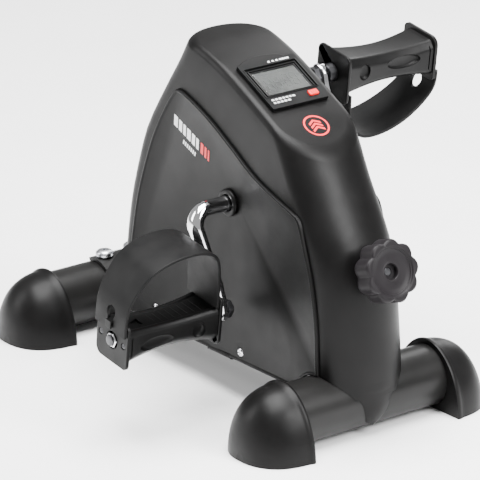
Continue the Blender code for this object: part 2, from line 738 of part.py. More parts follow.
cable_points = [
    Vector((0.0155, CRANK_Y, CRANK_Z + 0.0543)), Vector((0.0160, CRANK_Y + 0.001, CRANK_Z + 0.0600)),
    Vector((0.0165, CRANK_Y - 0.002, CRANK_Z + 0.0660)), Vector((0.0150, CRANK_Y - 0.006, CRANK_Z + 0.0720)),
    Vector((0.0125, CRANK_Y - 0.009, CRANK_Z + 0.0780)), Vector((0.0105, CRANK_Y - 0.0115, CRANK_Z + 0.0835)),
]
cable_rings = []
for index, spot in enumerate(cable_points):
    heading = cable_points[min(index + 1, 5)] - cable_points[max(index - 1, 0)]
    turn = along(spot, heading)
    cable_rings.append([tuple(turn @ Vector(point)) for point in circle(0.0012, 0, 8)])
add_object("sensor_cable", loft(cable_rings), RUBBER)

# ---- pedals ----------------------------------------------------------------------------------------
# Strap centre lines as (|x|, local z, half width): the left one stands up, the right one hangs slacker.
STRAP_PATHS = {
    "left": [
        (0.1666, 0.0100, 0.0200), (0.1666, 0.0200, 0.0200), (0.1658, 0.0290, 0.0202), (0.1632, 0.0385, 0.0206),
        (0.1580, 0.0480, 0.0214), (0.1510, 0.0570, 0.0224), (0.1430, 0.0632, 0.0232), (0.1310, 0.0678, 0.0237),
        (0.1180, 0.0700, 0.0238), (0.1055, 0.0701, 0.0238), (0.0965, 0.0684, 0.0236), (0.0888, 0.0648, 0.0232),
        (0.0838, 0.0590, 0.0226), (0.0812, 0.0500, 0.0218), (0.0798, 0.0400, 0.0210), (0.0788, 0.0250, 0.0204),
        (0.0786, 0.0150, 0.0200),
    ],
    "right": [
        (0.1666, 0.0100, 0.0200), (0.1666, 0.0170, 0.0200), (0.1650, 0.0235, 0.0202), (0.1608, 0.0295, 0.0205),
        (0.1545, 0.0350, 0.0210), (0.1460, 0.0405, 0.0218), (0.1360, 0.0456, 0.0226), (0.1240, 0.0498, 0.0232),
        (0.1120, 0.0523, 0.0235), (0.1010, 0.0530, 0.0235), (0.0925, 0.0517, 0.0232), (0.0862, 0.0478, 0.0226),
        (0.0820, 0.0415, 0.0218), (0.0798, 0.0335, 0.0210), (0.0788, 0.0240, 0.0204), (0.0786, 0.0150, 0.0200),
    ],
}
OUTER_PLATE_OUTLINE = (
    [(-0.0205, 0.0165)] + arc((-0.0165, -0.0150), 0.0040, 180, 270, 3)
    + arc((0.0135, -0.0120), 0.0070, 270, 360, 4) + [(0.0205, 0.0165), (0.0182, 0.0185), (-0.0182, 0.0185)]
)
INNER_PLATE_OUTLINE = (
    arc((-0.0155, -0.0140), 0.0050, 180, 270, 3) + arc((0.0155, -0.0140), 0.0050, 270, 360, 3)
    + [(0.0205, 0.0190), (0.0175, 0.0225), (-0.0175, 0.0225), (-0.0205, 0.0190)]
)


def body_ring(x, waist):
    """One cross-section of the pedal body; waist runs from 0 at an end to 1 at mid-length."""
    deep = 0.0190 - 0.0030 * waist
    top = 0.0135 - 0.0030 * waist
    low = -0.0160 + 0.0040 * waist
    outline = [
        (-deep, low + 0.0060), (-deep + 0.0050, low), (deep - 0.0050, low), (deep, low + 0.0060),
        (deep, top - 0.0035), (deep - 0.0030, top), (deep - 0.0065, top - 0.0010),
        (-deep + 0.0065, top - 0.0010), (-deep + 0.0030, top), (-deep, top - 0.0035),
    ]
    return [(x, y, z) for y, z in outline]


for side, sign, turn in (("left", -1, PEDAL_TILT), ("right", 1, PEDAL_TILT + math.pi)):
    axle_spot = crank_place @ Vector((0, 0, sign * CRANK_LENGTH))
    place = Matrix.Translation(axle_spot) @ Matrix.Rotation(turn, 4, "X")
    axle = Matrix.Translation(axle_spot) @ along((0, 0, 0), (sign, 0, 0))

    body_inner = PEDAL_INNER + PEDAL_PLATE + GAP
    body_outer = PEDAL_OUTER - PEDAL_PLATE - GAP
    rings = []
    for index in range(9):
        portion = index / 8
        waist = math.sin(math.pi * portion) ** 0.9 if 0 < portion < 1 else 0
        rings.append(body_ring(body_inner + (body_outer - body_inner) * portion, waist))
    body = add_object(side + "_pedal_body", flipped(loft(rings), sign), TEXTURED_PLASTIC, place)
    axle_bore = add_object(side + "_pedal_bore", cylinder(0.0048, 0.040, 0.180, 16), place=axle)
    combine(body, axle_bore)
    for label, front in (("front", -1), ("rear", 1)):
        oval = [
            (0.1335 + 0.016 * math.cos(step), -0.0025 + 0.0058 * math.sin(step))
            for step in [2 * math.pi * index / 14 for index in range(14)]
        ]
        oval_cut = add_object(
            f"{side}_{label}_oval",
            loft([[(sign * x, front * depth, z) for x, z in oval] for depth in (0.0142, 0.025)]), place=place,
        )
        dot = [
            (0.0935 + 0.0058 * math.cos(step), -0.0020 + 0.0070 * math.sin(step))
            for step in [2 * math.pi * index / 12 for index in range(12)]
        ]
        dot_cut = add_object(
            f"{side}_{label}_dot",
            loft([[(sign * x, front * depth, z) for x, z in dot] for depth in (0.0140, 0.025)]), place=place,
        )
        combine(body, oval_cut)
        combine(body, dot_cut)

    inner_plate = add_object(
        side + "_pedal_inner_plate",
        flipped(prism(INNER_PLATE_OUTLINE, PEDAL_INNER, PEDAL_INNER + PEDAL_PLATE), sign), TEXTURED_PLASTIC, place,
    )
    combine(inner_plate, axle_bore)
    outer_plate = add_object(
        side + "_pedal_outer_plate",
        flipped(prism(OUTER_PLATE_OUTLINE, PEDAL_OUTER - PEDAL_PLATE, PEDAL_OUTER), sign), TEXTURED_PLASTIC, place,
    )
    hook_outline = [
        (PEDAL_OUTER - 0.0010, 0.0150), (PEDAL_OUTER + 0.0034, 0.0150), (PEDAL_OUTER + 0.0034, 0.0120),
        (PEDAL_OUTER + 0.0050, 0.0120), (PEDAL_OUTER + 0.0050, 0.0185), (PEDAL_OUTER - 0.0010, 0.0185),
    ]
    hook = add_object(
        side + "_strap_hook",
        loft([[(sign * x, y, z) for x, z in hook_outline] for y in (-0.0035, 0.0035)]), place=place,
    )
    nut_well = add_object(side + "_nut_well", cylinder(0.0072, 0.150, 0.172), place=axle)
    combine(outer_plate, hook, "UNION")
    combine(outer_plate, nut_well)

    add_object(
        side + "_pedal_spindle",
        stack([
            (0.0045, 0.0505), (0.0045, 0.0661), (0.0078, 0.0661), (0.0078, 0.0732), (0.0045, 0.0732),
            (0.0045, 0.1673), (0.0038, 0.1680),
        ], 14),
        ZINC, axle,
    )
    arm_nut = add_object(
        side + "_arm_nut",
        stack([(0.0076, 0.0520), (0.0080, 0.0526), (0.0080, 0.0570)], 6), CAST_IRON, axle,
    )
    end_nut = add_object(
        side + "_spindle_nut",
        stack([(0.0066, 0.1620), (0.0066, 0.1657), (0.0060, 0.1663)], 6), CHROME, axle,
    )
    combine(arm_nut, axle_bore)
    combine(end_nut, axle_bore)

    strap = add_object(
        side + "_pedal_strap", flipped(reorder(ribbon(STRAP_PATHS[side], 0.0024), (0, 2, 1)), sign),
        STRAP_VINYL, place,
    )
    keyhole_outline = (
        [(-0.0038, 0.0135), (0.0038, 0.0135), (0.0038, 0.0210)] + arc((0, 0.0250), 0.0055, -40, 220, 10)
        + [(-0.0038, 0.0210)]
    )
    keyhole = add_object(
        side + "_strap_keyhole", flipped(prism(keyhole_outline, 0.1500, 0.1760), sign), place=place,
    )
    combine(strap, keyhole)
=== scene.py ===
"""Looks of the pedal exerciser: fine shells over the CAD frame, printed marks, materials and studio light."""

import math

import bmesh
import bpy
from mathutils import Matrix, Vector


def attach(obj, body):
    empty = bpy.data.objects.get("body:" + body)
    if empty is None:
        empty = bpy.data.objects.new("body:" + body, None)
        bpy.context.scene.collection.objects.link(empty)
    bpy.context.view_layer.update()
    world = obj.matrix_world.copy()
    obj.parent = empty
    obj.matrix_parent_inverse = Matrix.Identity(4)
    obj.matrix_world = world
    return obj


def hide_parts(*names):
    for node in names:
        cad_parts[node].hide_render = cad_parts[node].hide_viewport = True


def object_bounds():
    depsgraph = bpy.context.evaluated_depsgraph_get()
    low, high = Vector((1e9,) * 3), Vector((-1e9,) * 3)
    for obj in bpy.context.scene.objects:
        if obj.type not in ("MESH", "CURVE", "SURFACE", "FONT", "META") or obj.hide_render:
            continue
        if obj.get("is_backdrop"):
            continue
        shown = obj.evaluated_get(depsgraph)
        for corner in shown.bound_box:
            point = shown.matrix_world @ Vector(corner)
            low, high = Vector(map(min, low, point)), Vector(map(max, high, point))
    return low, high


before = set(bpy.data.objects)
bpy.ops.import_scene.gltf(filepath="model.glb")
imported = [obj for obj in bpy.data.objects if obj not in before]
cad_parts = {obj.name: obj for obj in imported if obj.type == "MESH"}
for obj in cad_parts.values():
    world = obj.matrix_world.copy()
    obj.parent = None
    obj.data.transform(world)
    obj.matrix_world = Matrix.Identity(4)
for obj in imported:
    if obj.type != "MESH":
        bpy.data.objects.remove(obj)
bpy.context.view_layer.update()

# ---- dimensions shared with the CAD ----
GAP = 0.0003
TUBE_RADIUS, TUBE_Z, TUBE_HALF = 0.025, 0.0265, 0.081
FRONT_Y, REAR_Y = -0.155, 0.17
CRANK_Y, CRANK_Z, CRANK_LENGTH = -0.0455, 0.166, 0.083
CRANK_LEAN = math.radians(9)
HOUSING_HALF, COLUMN_REACH, WALL = 0.038, 0.025, 0.0026
KNOB_AXIS = Vector((0, -0.952, 0.306)).normalized()
KNOB_SEAT = Vector((0, -0.1757, 0.1346))
METER_CENTRE, METER_TILT = Vector((0, -0.063, 0.2597)), math.radians(26.5)
PEDAL_INNER, PEDAL_OUTER, PEDAL_PLATE = 0.0735, 0.165, 0.003
PEDAL_TILT = math.radians(8.5)

FRONT_LINE = [
    (0.03, -0.1832), (0.06, -0.182), (0.089, -0.18), (0.125, -0.1765), (0.15, -0.169),
    (0.163, -0.1625), (0.176, -0.1548), (0.195, -0.1437), (0.221, -0.1312), (0.3, -0.0965),
]
REAR_LINE = [
    (0.03, 0.127), (0.083, 0.1185), (0.13, 0.109), (0.163, 0.0985), (0.197, 0.085),
    (0.228, 0.0668), (0.254, 0.05), (0.274, 0.0375), (0.3, 0.024),
]
REAR_DEPTH = [(0.03, 0.02), (0.197, 0.02), (0.228, 0.024), (0.254, 0.029), (0.274, 0.033), (0.3, 0.037)]
FACET_LINE = [
    (-0.16, 0.201), (-0.1305, 0.2215), (-0.1055, 0.2375), (-0.0865, 0.248), (-0.0395, 0.2714),
    (-0.0125, 0.2812), (0.0075, 0.2858), (0.0255, 0.2873), (0.04, 0.2843), (0.06, 0.272),
]

SIDES = (("left", -1), ("right", 1))
SCREW_SPOTS = ((-0.056, 0.042), (0.06, 0.0465))
BOLT_X = 0.014
SPINDLE_BORE = 0.0048


# ---- node materials ----
class Surface:
    """A Principled material whose patterns are read in the object's own metres."""

    def __init__(self, name, roughness, metallic=0.0, **sockets):
        self.material = bpy.data.materials.new(name)
        self.material.use_nodes = True
        self.nodes = self.material.node_tree.nodes
        self.links = self.material.node_tree.links
        self.shader = self.nodes["Principled BSDF"]
        self.shader.inputs["Roughness"].default_value = roughness
        self.shader.inputs["Metallic"].default_value = metallic
        for socket, value in sockets.items():
            self.shader.inputs[socket.replace("_", " ")].default_value = value
        self.where = self.nodes.new("ShaderNodeTexCoord").outputs["Object"]
        self.normal = None

    def noise(self, scale, detail=3.0, stretch=(1, 1, 1), roughness=0.5):
        mapping = self.nodes.new("ShaderNodeMapping")
        mapping.inputs["Scale"].default_value = stretch
        self.links.new(self.where, mapping.inputs["Vector"])
        made = self.nodes.new("ShaderNodeTexNoise")
        made.inputs["Scale"].default_value = scale
        made.inputs["Detail"].default_value = detail
        made.inputs["Roughness"].default_value = roughness
        self.links.new(mapping.outputs["Vector"], made.inputs["Vector"])
        return made.outputs["Fac"]

    def cells(self, scale, feature="F1"):
        made = self.nodes.new("ShaderNodeTexVoronoi")
        made.feature = feature
        made.inputs["Scale"].default_value = scale
        self.links.new(self.where, made.inputs["Vector"])
        return made.outputs["Distance"]

    def bands(self, scale):
        made = self.nodes.new("ShaderNodeTexWave")
        made.bands_direction = "X"
        made.inputs["Scale"].default_value = scale
        self.links.new(self.where, made.inputs["Vector"])
        return made.outputs["Fac"]

    def colour(self, pattern, low, high, start=0.35, end=0.65):
        ramp = self.nodes.new("ShaderNodeValToRGB")
        ramp.color_ramp.elements[0].position = start
        ramp.color_ramp.elements[0].color = (*low, 1)
        ramp.color_ramp.elements[1].position = end
        ramp.color_ramp.elements[1].color = (*high, 1)
        self.links.new(pattern, ramp.inputs["Fac"])
        self.links.new(ramp.outputs["Color"], self.shader.inputs["Base Color"])
        return self

    def rough(self, pattern, low, high, start=0.3, end=0.7):
        remap = self.nodes.new("ShaderNodeMapRange")
        for socket, value in (("From Min", start), ("From Max", end), ("To Min", low), ("To Max", high)):
            remap.inputs[socket].default_value = value
        self.links.new(pattern, remap.inputs["Value"])
        self.links.new(remap.outputs["Result"], self.shader.inputs["Roughness"])
        return self

    def bump(self, pattern, strength, depth):
        made = self.nodes.new("ShaderNodeBump")
        made.inputs["Strength"].default_value = strength
        made.inputs["Distance"].default_value = depth
        self.links.new(pattern, made.inputs["Height"])
        if self.normal is not None:
            self.links.new(self.normal, made.inputs["Normal"])
        self.normal = made.outputs["Normal"]
        self.links.new(self.normal, self.shader.inputs["Normal"])
        return self


def moulded(name, dark, light, low, high, grain, depth, shine=0.12):
    """Moulded plastic: spark-eroded grain, faint mottling of tone and gloss."""
    made = Surface(name, (low + high) / 2, IOR=1.5, Specular_IOR_Level=shine)
    made.colour(made.noise(38, 4), dark, light)
    made.rough(made.noise(55, 5, roughness=0.6), low, high)
    made.bump(made.noise(grain, 2), 0.35, depth)
    return made


shell = moulded("satin_shell", (0.002, 0.0019, 0.0019), (0.0031, 0.0029, 0.0029), 0.36, 0.44, 1500, 0.00006)
cover = moulded("satin_cover", (0.0016, 0.0015, 0.0015), (0.0025, 0.0024, 0.0023), 0.4, 0.48, 1500, 0.00006)
pp = moulded("textured_pp", (0.0022, 0.0022, 0.0022), (0.0036, 0.0035, 0.0035), 0.34, 0.46, 1100, 0.0001)
meter_black = moulded(
    "meter_black", (0.0022, 0.0023, 0.0024), (0.0034, 0.0035, 0.0036), 0.3, 0.38, 1700, 0.00005
)
knob_grey = moulded("knob_grey", (0.007, 0.006, 0.0068), (0.0098, 0.0086, 0.0096), 0.4, 0.5, 1300, 0.00008)

rubber = Surface("rubber_cap", 0.45, IOR=1.5, Specular_IOR_Level=0.12)
rubber.colour(rubber.noise(30, 4), (0.0021, 0.002, 0.002), (0.0033, 0.0031, 0.0031))
rubber.rough(rubber.noise(70, 5), 0.36, 0.46)
rubber.bump(rubber.noise(900, 3), 0.3, 0.0001).bump(rubber.cells(520, "SMOOTH_F1"), 0.12, 0.0001)

vinyl = Surface("strap_vinyl", 0.5, IOR=1.5, Specular_IOR_Level=0.12)
vinyl.colour(vinyl.noise(45, 4), (0.0024, 0.0024, 0.0025), (0.004, 0.0039, 0.0039))
vinyl.rough(vinyl.noise(90, 4), 0.46, 0.58)
vinyl.bump(vinyl.cells(950, "DISTANCE_TO_EDGE"), 0.22, 0.00012).bump(vinyl.noise(160, 3), 0.15, 0.0002)

paint = Surface("powder_coat", 0.35, IOR=1.5, Specular_IOR_Level=0.16)
paint.colour(paint.noise(25, 4), (0.005, 0.0049, 0.0048), (0.0078, 0.0076, 0.0074))
paint.rough(paint.noise(60, 4), 0.3, 0.38)
paint.bump(paint.noise(420, 3), 0.18, 0.00012).bump(paint.noise(1800, 2), 0.15, 0.00005)

chrome = Surface("chrome_plate", 0.06, metallic=1.0)
chrome.colour(chrome.noise(60, 3), (0.74, 0.74, 0.76), (0.84, 0.84, 0.85))
chrome.rough(chrome.noise(220, 4, (0.2, 1, 1)), 0.04, 0.1)
chrome.bump(chrome.noise(260, 2), 0.05, 0.00008)

zinc = Surface("zinc_plate", 0.3, metallic=1.0)
zinc.colour(zinc.noise(180, 4), (0.42, 0.43, 0.46), (0.6, 0.61, 0.62))
zinc.rough(zinc.noise(320, 4), 0.22, 0.4)
zinc.bump(zinc.noise(900, 2), 0.1, 0.00006)

blackened = Surface("blackened_steel", 0.38, metallic=1.0)
blackened.colour(blackened.noise(140, 4), (0.045, 0.045, 0.048), (0.08, 0.08, 0.084))
blackened.rough(blackened.noise(260, 4), 0.28, 0.46)
blackened.bump(blackened.noise(800, 3), 0.12, 0.00008)

iron = Surface("machined_iron", 0.45, metallic=1.0)
iron.colour(iron.noise(90, 5), (0.13, 0.13, 0.14), (0.24, 0.24, 0.25))
iron.rough(iron.noise(500, 4, (4, 1, 1)), 0.34, 0.55)
iron.bump(iron.noise(700, 4), 0.25, 0.00012)

bronze = Surface("sintered_bronze", 0.45, metallic=1.0)
bronze.colour(bronze.cells(1400), (0.3, 0.18, 0.08), (0.52, 0.35, 0.17), 0.1, 0.7)
bronze.rough(bronze.noise(600, 3), 0.36, 0.55)
bronze.bump(bronze.cells(1400), 0.2, 0.00008)

band = Surface("band_steel", 0.42, metallic=0.9)
band.colour(band.noise(350, 3, (6, 1, 1)), (0.18, 0.18, 0.18), (0.3, 0.3, 0.3))
band.rough(band.noise(420, 3, (6, 1, 1)), 0.34, 0.52)
band.bump(band.noise(520, 3, (8, 1, 1)), 0.12, 0.00006)


def tinted(name, roughness, scale, low, high, strength, depth):
    """Coloured plastic or ink with a faint mottle and a fine grain."""
    made = Surface(name, roughness, IOR=1.5)
    made.colour(made.noise(scale, 3), low, high)
    made.bump(made.noise(1500, 2), strength, depth)
    return made


red_button = tinted("red_button", 0.42, 160, (0.62, 0.004, 0.003), (0.76, 0.008, 0.006), 0.2, 0.00005)
red_print = tinted("red_print", 0.4, 220, (0.62, 0.002, 0.008), (0.74, 0.004, 0.012), 0.15, 0.00003)
white_print = tinted("white_print", 0.45, 260, (0.72, 0.72, 0.72), (0.84, 0.84, 0.84), 0.15, 0.00003)

lcd = Surface("lcd_grey", 0.22, IOR=1.52)
lcd.colour(lcd.noise(90, 2), (0.085, 0.086, 0.084), (0.118, 0.119, 0.116))
lcd.bump(lcd.bands(700), 0.04, 0.00002)

segment = Surface("lcd_segment", 0.3, IOR=1.52)
segment.colour(segment.noise(300, 2), (0.05, 0.051, 0.05), (0.062, 0.063, 0.062))

glass = Surface("clear_window", 0.06, IOR=1.49, Transmission_Weight=1.0)
glass.colour(glass.noise(120, 2), (0.9, 0.92, 0.92), (0.96, 0.97, 0.97))
glass.rough(glass.noise(400, 3), 0.04, 0.09)

board = Surface("circuit_board", 0.4, IOR=1.5)
board.colour(board.cells(420, "DISTANCE_TO_EDGE"), (0.03, 0.12, 0.045), (0.008, 0.07, 0.022), 0.04, 0.09)
board.bump(board.cells(420, "DISTANCE_TO_EDGE"), 0.25, 0.00008)

dark_hole = moulded("screw_black", (0.005, 0.005, 0.005), (0.008, 0.008, 0.008), 0.4, 0.5, 1200, 0.00006)


# ---- mesh code ----
def loft(rings, closed=True):
    """A skin through equal rings of points, with flat ends when closed."""
    count = len(rings[0])
    points = [tuple(point) for ring in rings for point in ring]
    faces = []
    for level in range(len(rings) - 1):
        low = level * count
        for index in range(count):
            after = (index + 1) % count
            faces.append((low + index, low + after, low + count + after, low + count + index))
    if closed:
        faces.append(tuple(range(count)))
        faces.append(tuple(range(len(points) - count, len(points))))
    return points, faces


def ring_loft(rings):
    """A skin through rings where the last joins the first again, such as a sleeve."""
    count = len(rings[0])
    points, faces = loft(rings, closed=False)
    low = (len(rings) - 1) * count
    for index in range(count):
        after = (index + 1) % count
        faces.append((low + index, low + after, after, index))
    return points, faces


def circle(radius, height, segments=64):
    turns = [2 * math.pi * index / segments for index in range(segments)]
    return [(radius * math.cos(turn), radius * math.sin(turn), height) for turn in turns]


def turned(steps, segments=64):
    return loft([circle(radius, height, segments) for radius, height in steps])


def sleeve(steps, segments=64):
    return ring_loft([circle(radius, height, segments) for radius, height in steps])


def prism(outline, low, high):
    """A (y, z) outline carried along X."""
    return loft([[(x, y, z) for y, z in outline] for x in (low, high)])


def plate(outline, low, high):
    """An (x, y) outline carried along Z."""
    return loft([[(x, y, z) for x, y in outline] for z in (low, high)])


def mirrored(shape, sign):
    points, faces = shape
    return [(sign * x, y, z) for x, y, z in points], faces


def joined(*shapes):
    points, faces = [], []
    for some_points, some_faces in shapes:
        start = len(points)
        points += some_points
        faces += [tuple(start + index for index in face) for face in some_faces]
    return points, faces


def arc(centre, radius, start, end, steps):
    turns = [math.radians(start + (end - start) * index / steps) for index in range(steps + 1)]
    return [(centre[0] + radius * math.cos(turn), centre[1] + radius * math.sin(turn)) for turn in turns]


def ellipse(centre, wide, tall, segments=40):
    turns = [2 * math.pi * index / segments for index in range(segments)]
    return [(centre[0] + wide * math.cos(turn), centre[1] + tall * math.sin(turn)) for turn in turns]


def smooth(table, where):
    """Height of a smooth curve through a table of (position, value) rows."""
    if where <= table[0][0]:
        return table[0][1]
    if where >= table[-1][0]:
        return table[-1][1]
    row = max(index for index in range(len(table) - 1) if table[index][0] <= where)
    slopes = []
    for index in (row, row + 1):
        low = table[max(index - 1, 0)]
        high = table[min(index + 1, len(table) - 1)]
        slopes.append((high[1] - low[1]) / (high[0] - low[0]))
    (p0, v0), (p1, v1) = table[row], table[row + 1]
    span = p1 - p0
    t = (where - p0) / span
    value = (2 * t**3 - 3 * t**2 + 1) * v0 + (t**3 - 2 * t**2 + t) * span * slopes[0]
    return value + (-2 * t**3 + 3 * t**2) * v1 + (t**3 - t**2) * span * slopes[1]


def spline(points, steps, sharp=(), closed=False):
    """Points along a Catmull-Rom curve of any dimension; it breaks its tangent at the sharp indexes."""
    made = []
    count = len(points)
    spans = count if closed else count - 1
    for index in range(spans):
        p1, p2 = Vector(points[index]), Vector(points[(index + 1) % count])
        p0 = Vector(points[index - 1]) if closed or index else 2 * p1 - p2
        p3 = Vector(points[(index + 2) % count]) if closed or index + 2 < count else 2 * p2 - p1
        if index in sharp:
            p0 = 2 * p1 - p2
        if (index + 1) % count in sharp:
            p3 = 2 * p2 - p1
        for step in range(steps):
            t = step / steps
            made.append(tuple(
                0.5 * (2 * p1 + (p2 - p0) * t + (2 * p0 - 5 * p1 + 4 * p2 - p3) * t**2
                       + (3 * p1 - p0 - 3 * p2 + p3) * t**3)
            ))
    if not closed:
        made.append(tuple(points[-1]))
    return made


def offset(outline, distance):
    """The outline moved outwards; it runs anticlockwise."""
    grown = []
    for index, spot in enumerate(outline):
        here = Vector(spot)
        first = (here - Vector(outline[index - 1])).normalized()
        second = (Vector(outline[(index + 1) % len(outline)]) - here).normalized()
        normal_a, normal_b = Vector((first.y, -first.x)), Vector((second.y, -second.x))
        middle = (normal_a + normal_b).normalized()
        grown.append(tuple(here + middle * distance / max(middle.dot(normal_a), 0.5)))
    return grown


def fillet(outline, radius, steps=4):
    """The outline with each corner rounded by a short curve of steps + 1 points."""
    made = []
    for index, spot in enumerate(outline):
        here = Vector(spot)
        before, after = Vector(outline[index - 1]), Vector(outline[(index + 1) % len(outline)])
        back, ahead = before - here, after - here
        reach = min(radius, back.length * 0.45, ahead.length * 0.45)
        start, end = here + back.normalized() * reach, here + ahead.normalized() * reach
        for step in range(steps + 1):
            t = step / steps
            made.append(tuple((1 - t) ** 2 * start + 2 * t * (1 - t) * here + t**2 * end))
    return made


def rectangle(wide, tall, centre=(0, 0), radius=0.0, steps=4):
    x, y = centre
    corners = [(x - wide / 2, y - tall / 2), (x + wide / 2, y - tall / 2),
               (x + wide / 2, y + tall / 2), (x - wide / 2, y + tall / 2)]
    return fillet(corners, radius, steps) if radius else corners


def along(origin, axis):
    """A placement whose local +Z lies along the given axis and whose local +X stays level."""
    z = Vector(axis).normalized()
    x = Vector((1, 0, 0)) if abs(z.x) < 0.9 else Vector((0, 1, 0))
    y = z.cross(x).normalized()
    x = y.cross(z)
    return Matrix.Translation(origin) @ Matrix((x, y, z)).transposed().to_4x4()


def mesh_object(name, shape, place=None, split=False):
    points, faces = shape
    work = bmesh.new()
    corners = [work.verts.new(point) for point in points]
    for face in faces:
        work.faces.new([corners[index] for index in face])
    if split:
        bmesh.ops.connect_verts_nonplanar(work, faces=work.faces, angle_limit=math.radians(0.02))
    bmesh.ops.recalc_face_normals(work, faces=work.faces)
    if work.calc_volume(signed=True) < 0:
        bmesh.ops.reverse_faces(work, faces=work.faces)
    mesh = bpy.data.meshes.new(name)
    work.to_mesh(mesh)
    work.free()
    made = bpy.data.objects.new(name, mesh)
    if place is not None:
        made.matrix_world = place
    bpy.context.scene.collection.objects.link(made)
    return made


def cut(shape, place=None):
    """A Boolean that takes the shape away."""
    return "DIFFERENCE", shape, place


def carve(target, tools):
    """Applies a run of Booleans, (operation, shape, placement), and takes the cutters away again."""
    helpers = []
    for number, (operation, shape, place) in enumerate(tools):
        helper = mesh_object(f"{target.name}_tool_{number}", shape, place, split=True)
        step = target.modifiers.new(helper.name, "BOOLEAN")
        step.operation, step.solver, step.object = operation, "EXACT", helper
        helpers.append(helper)
    bpy.context.view_layer.update()
    result = bpy.data.meshes.new_from_object(target.evaluated_get(bpy.context.evaluated_depsgraph_get()))
    target.modifiers.clear()
    target.data = result
    for helper in helpers:
        bpy.data.objects.remove(helper)


def shade(target, angle, width=0.0, segments=3):
    """Smooth shading that stays crisp past an angle, with rounded edges where a width is given."""
    for face in target.data.polygons:
        face.use_smooth = True
    if width:
        edge = target.modifiers.new("edge", "BEVEL")
        edge.width, edge.segments, edge.limit_method = width, segments, "ANGLE"
        edge.angle_limit = math.radians(angle)
        weigh = target.modifiers.new("normals", "WEIGHTED_NORMAL")
        weigh.keep_sharp = True
    else:
        target.data.set_sharp_from_angle(angle=math.radians(angle))


def piece(
    name, shape, surface, body, covers=(), place=None, tools=(), angle=35, width=0.0, segments=3
):
    """A finished mesh that rides a body; covers names the CAD nodes that it stands in for."""
    made = mesh_object(name, shape, place, split=bool(tools))
    if tools:
        carve(made, tools)
    made.data.materials.clear()
    made.data.materials.append(surface.material)
    shade(made, angle, width, segments)
    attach(made, body)
    if covers:
        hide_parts(*covers)
    return made


# ---- foot tubes, caps and steel base ----
CAP_SCALE = [
    (0.071, 1.022), (0.0722, 1.03), (0.074, 1.026), (0.0765, 1.004), (0.081, 0.992), (0.086, 0.972),
    (0.091, 0.94), (0.096, 0.893), (0.1005, 0.828), (0.1045, 0.743), (0.1078, 0.645), (0.1105, 0.53),
    (0.1127, 0.395), (0.114, 0.255), (0.1146, 0.12),
]

for label, foot_y in (("front", FRONT_Y), ("rear", REAR_Y)):
    tube_place = along((0, foot_y, TUBE_Z), (1, 0, 0))
    wall = TUBE_RADIUS - 0.0015
    piece(
        f"{label}_tube_skin",
        sleeve([
            (TUBE_RADIUS, -TUBE_HALF), (TUBE_RADIUS, TUBE_HALF), (wall, TUBE_HALF), (wall, -TUBE_HALF),
        ], 96),
        paint, "frame", [f"{label}_foot_tube"], tube_place, angle=40,
    )
    for side, sign in SIDES:
        stations = [0.071, 0.0722, 0.0731, 0.074, 0.0752, 0.0765] + [
            0.0765 + (0.1146 - 0.0765) * math.sin(math.pi / 2 * index / 26) for index in range(1, 27)
        ]
        rings = []
        for x in stations:
            scale = smooth(CAP_SCALE, x)
            ring = []
            for index in range(49):
                turn = math.pi * index / 48
                ring.append((
                    sign * x, foot_y + 0.039 * scale * math.cos(turn), 0.0545 * scale * math.sin(turn),
                ))
            rings.append(ring)
        socket = turned([(TUBE_RADIUS + GAP, 0.06), (TUBE_RADIUS + GAP, TUBE_HALF + GAP)], 96)
        piece(
            f"{label}_{side}_cap_dome", loft(rings), rubber, "frame", [f"{label}_{side}_foot_cap"],
            tools=[cut(socket, along((0, foot_y, TUBE_Z), (sign, 0, 0)))], angle=42, width=0.0008,
        )
        bolt_place = Matrix.Translation((sign * BOLT_X, foot_y, 0))
        bolt = turned([
            (0.004, 0.04), (0.004, 0.0552), (0.0072, 0.0552), (0.0076, 0.0556), (0.0076, 0.0578),
            (0.0068, 0.0592), (0.0052, 0.0603), (0.0026, 0.0608),
        ], 40)
        piece(
            f"{label}_{side}_bolt_head", bolt, zinc, "frame", [f"{label}_{side}_foot_bolt"],
            bolt_place, [cut(turned([(0.0024, 0.0585), (0.0024, 0.062)], 6), bolt_place)],
            angle=30, width=0.0002, segments=2,
        )

beam_low, beam_high = 0.0365, 0.0585
beam_outline = rectangle(0.0388, beam_high - beam_low, (0, (beam_low + beam_high) / 2), 0.003, 6)
beam_inside = rectangle(0.0352, beam_high - beam_low - 0.0036, (0, (beam_low + beam_high) / 2), 0.0016, 6)
beam_ends = (FRONT_Y + 0.0287, REAR_Y - 0.0287)
piece(
    "base_beam_skin",
    ring_loft([[(x, y, z) for x, z in ring] for ring, y in (
        (beam_outline, beam_ends[0]), (beam_outline, beam_ends[1]), (beam_inside, beam_ends[1]),
        (beam_inside, beam_ends[0]))]),
    paint, "frame", ["base_beam"],
)
for label, foot_y, start, end in (("front", FRONT_Y, 108, -14), ("rear", REAR_Y, 72, 194)):
    inner = arc((foot_y, TUBE_Z), TUBE_RADIUS + GAP, start, end, 48)
    outer = arc((foot_y, TUBE_Z), TUBE_RADIUS + GAP + 0.003, end, start, 48)
    piece(
        f"{label}_saddle_skin", prism(inner + outer, -0.024, 0.024), paint, "frame",
        [f"{label}_saddle"],
        tools=[cut(turned([(0.0043, 0.035), (0.0043, 0.07)], 32),
                Matrix.Translation((sign * BOLT_X, foot_y, 0))) for _, sign in SIDES],
        width=0.0005,
    )

# ---- housing ----
EDGE_RADIUS = 0.0066
STATIONS = [("front", math.pi / 2 * index / 26) for index in range(27)]
STATIONS += [("side", index / 24) for index in range(1, 24)]
STATIONS += [("rear", math.pi / 2 * index / 20) for index in range(21)]


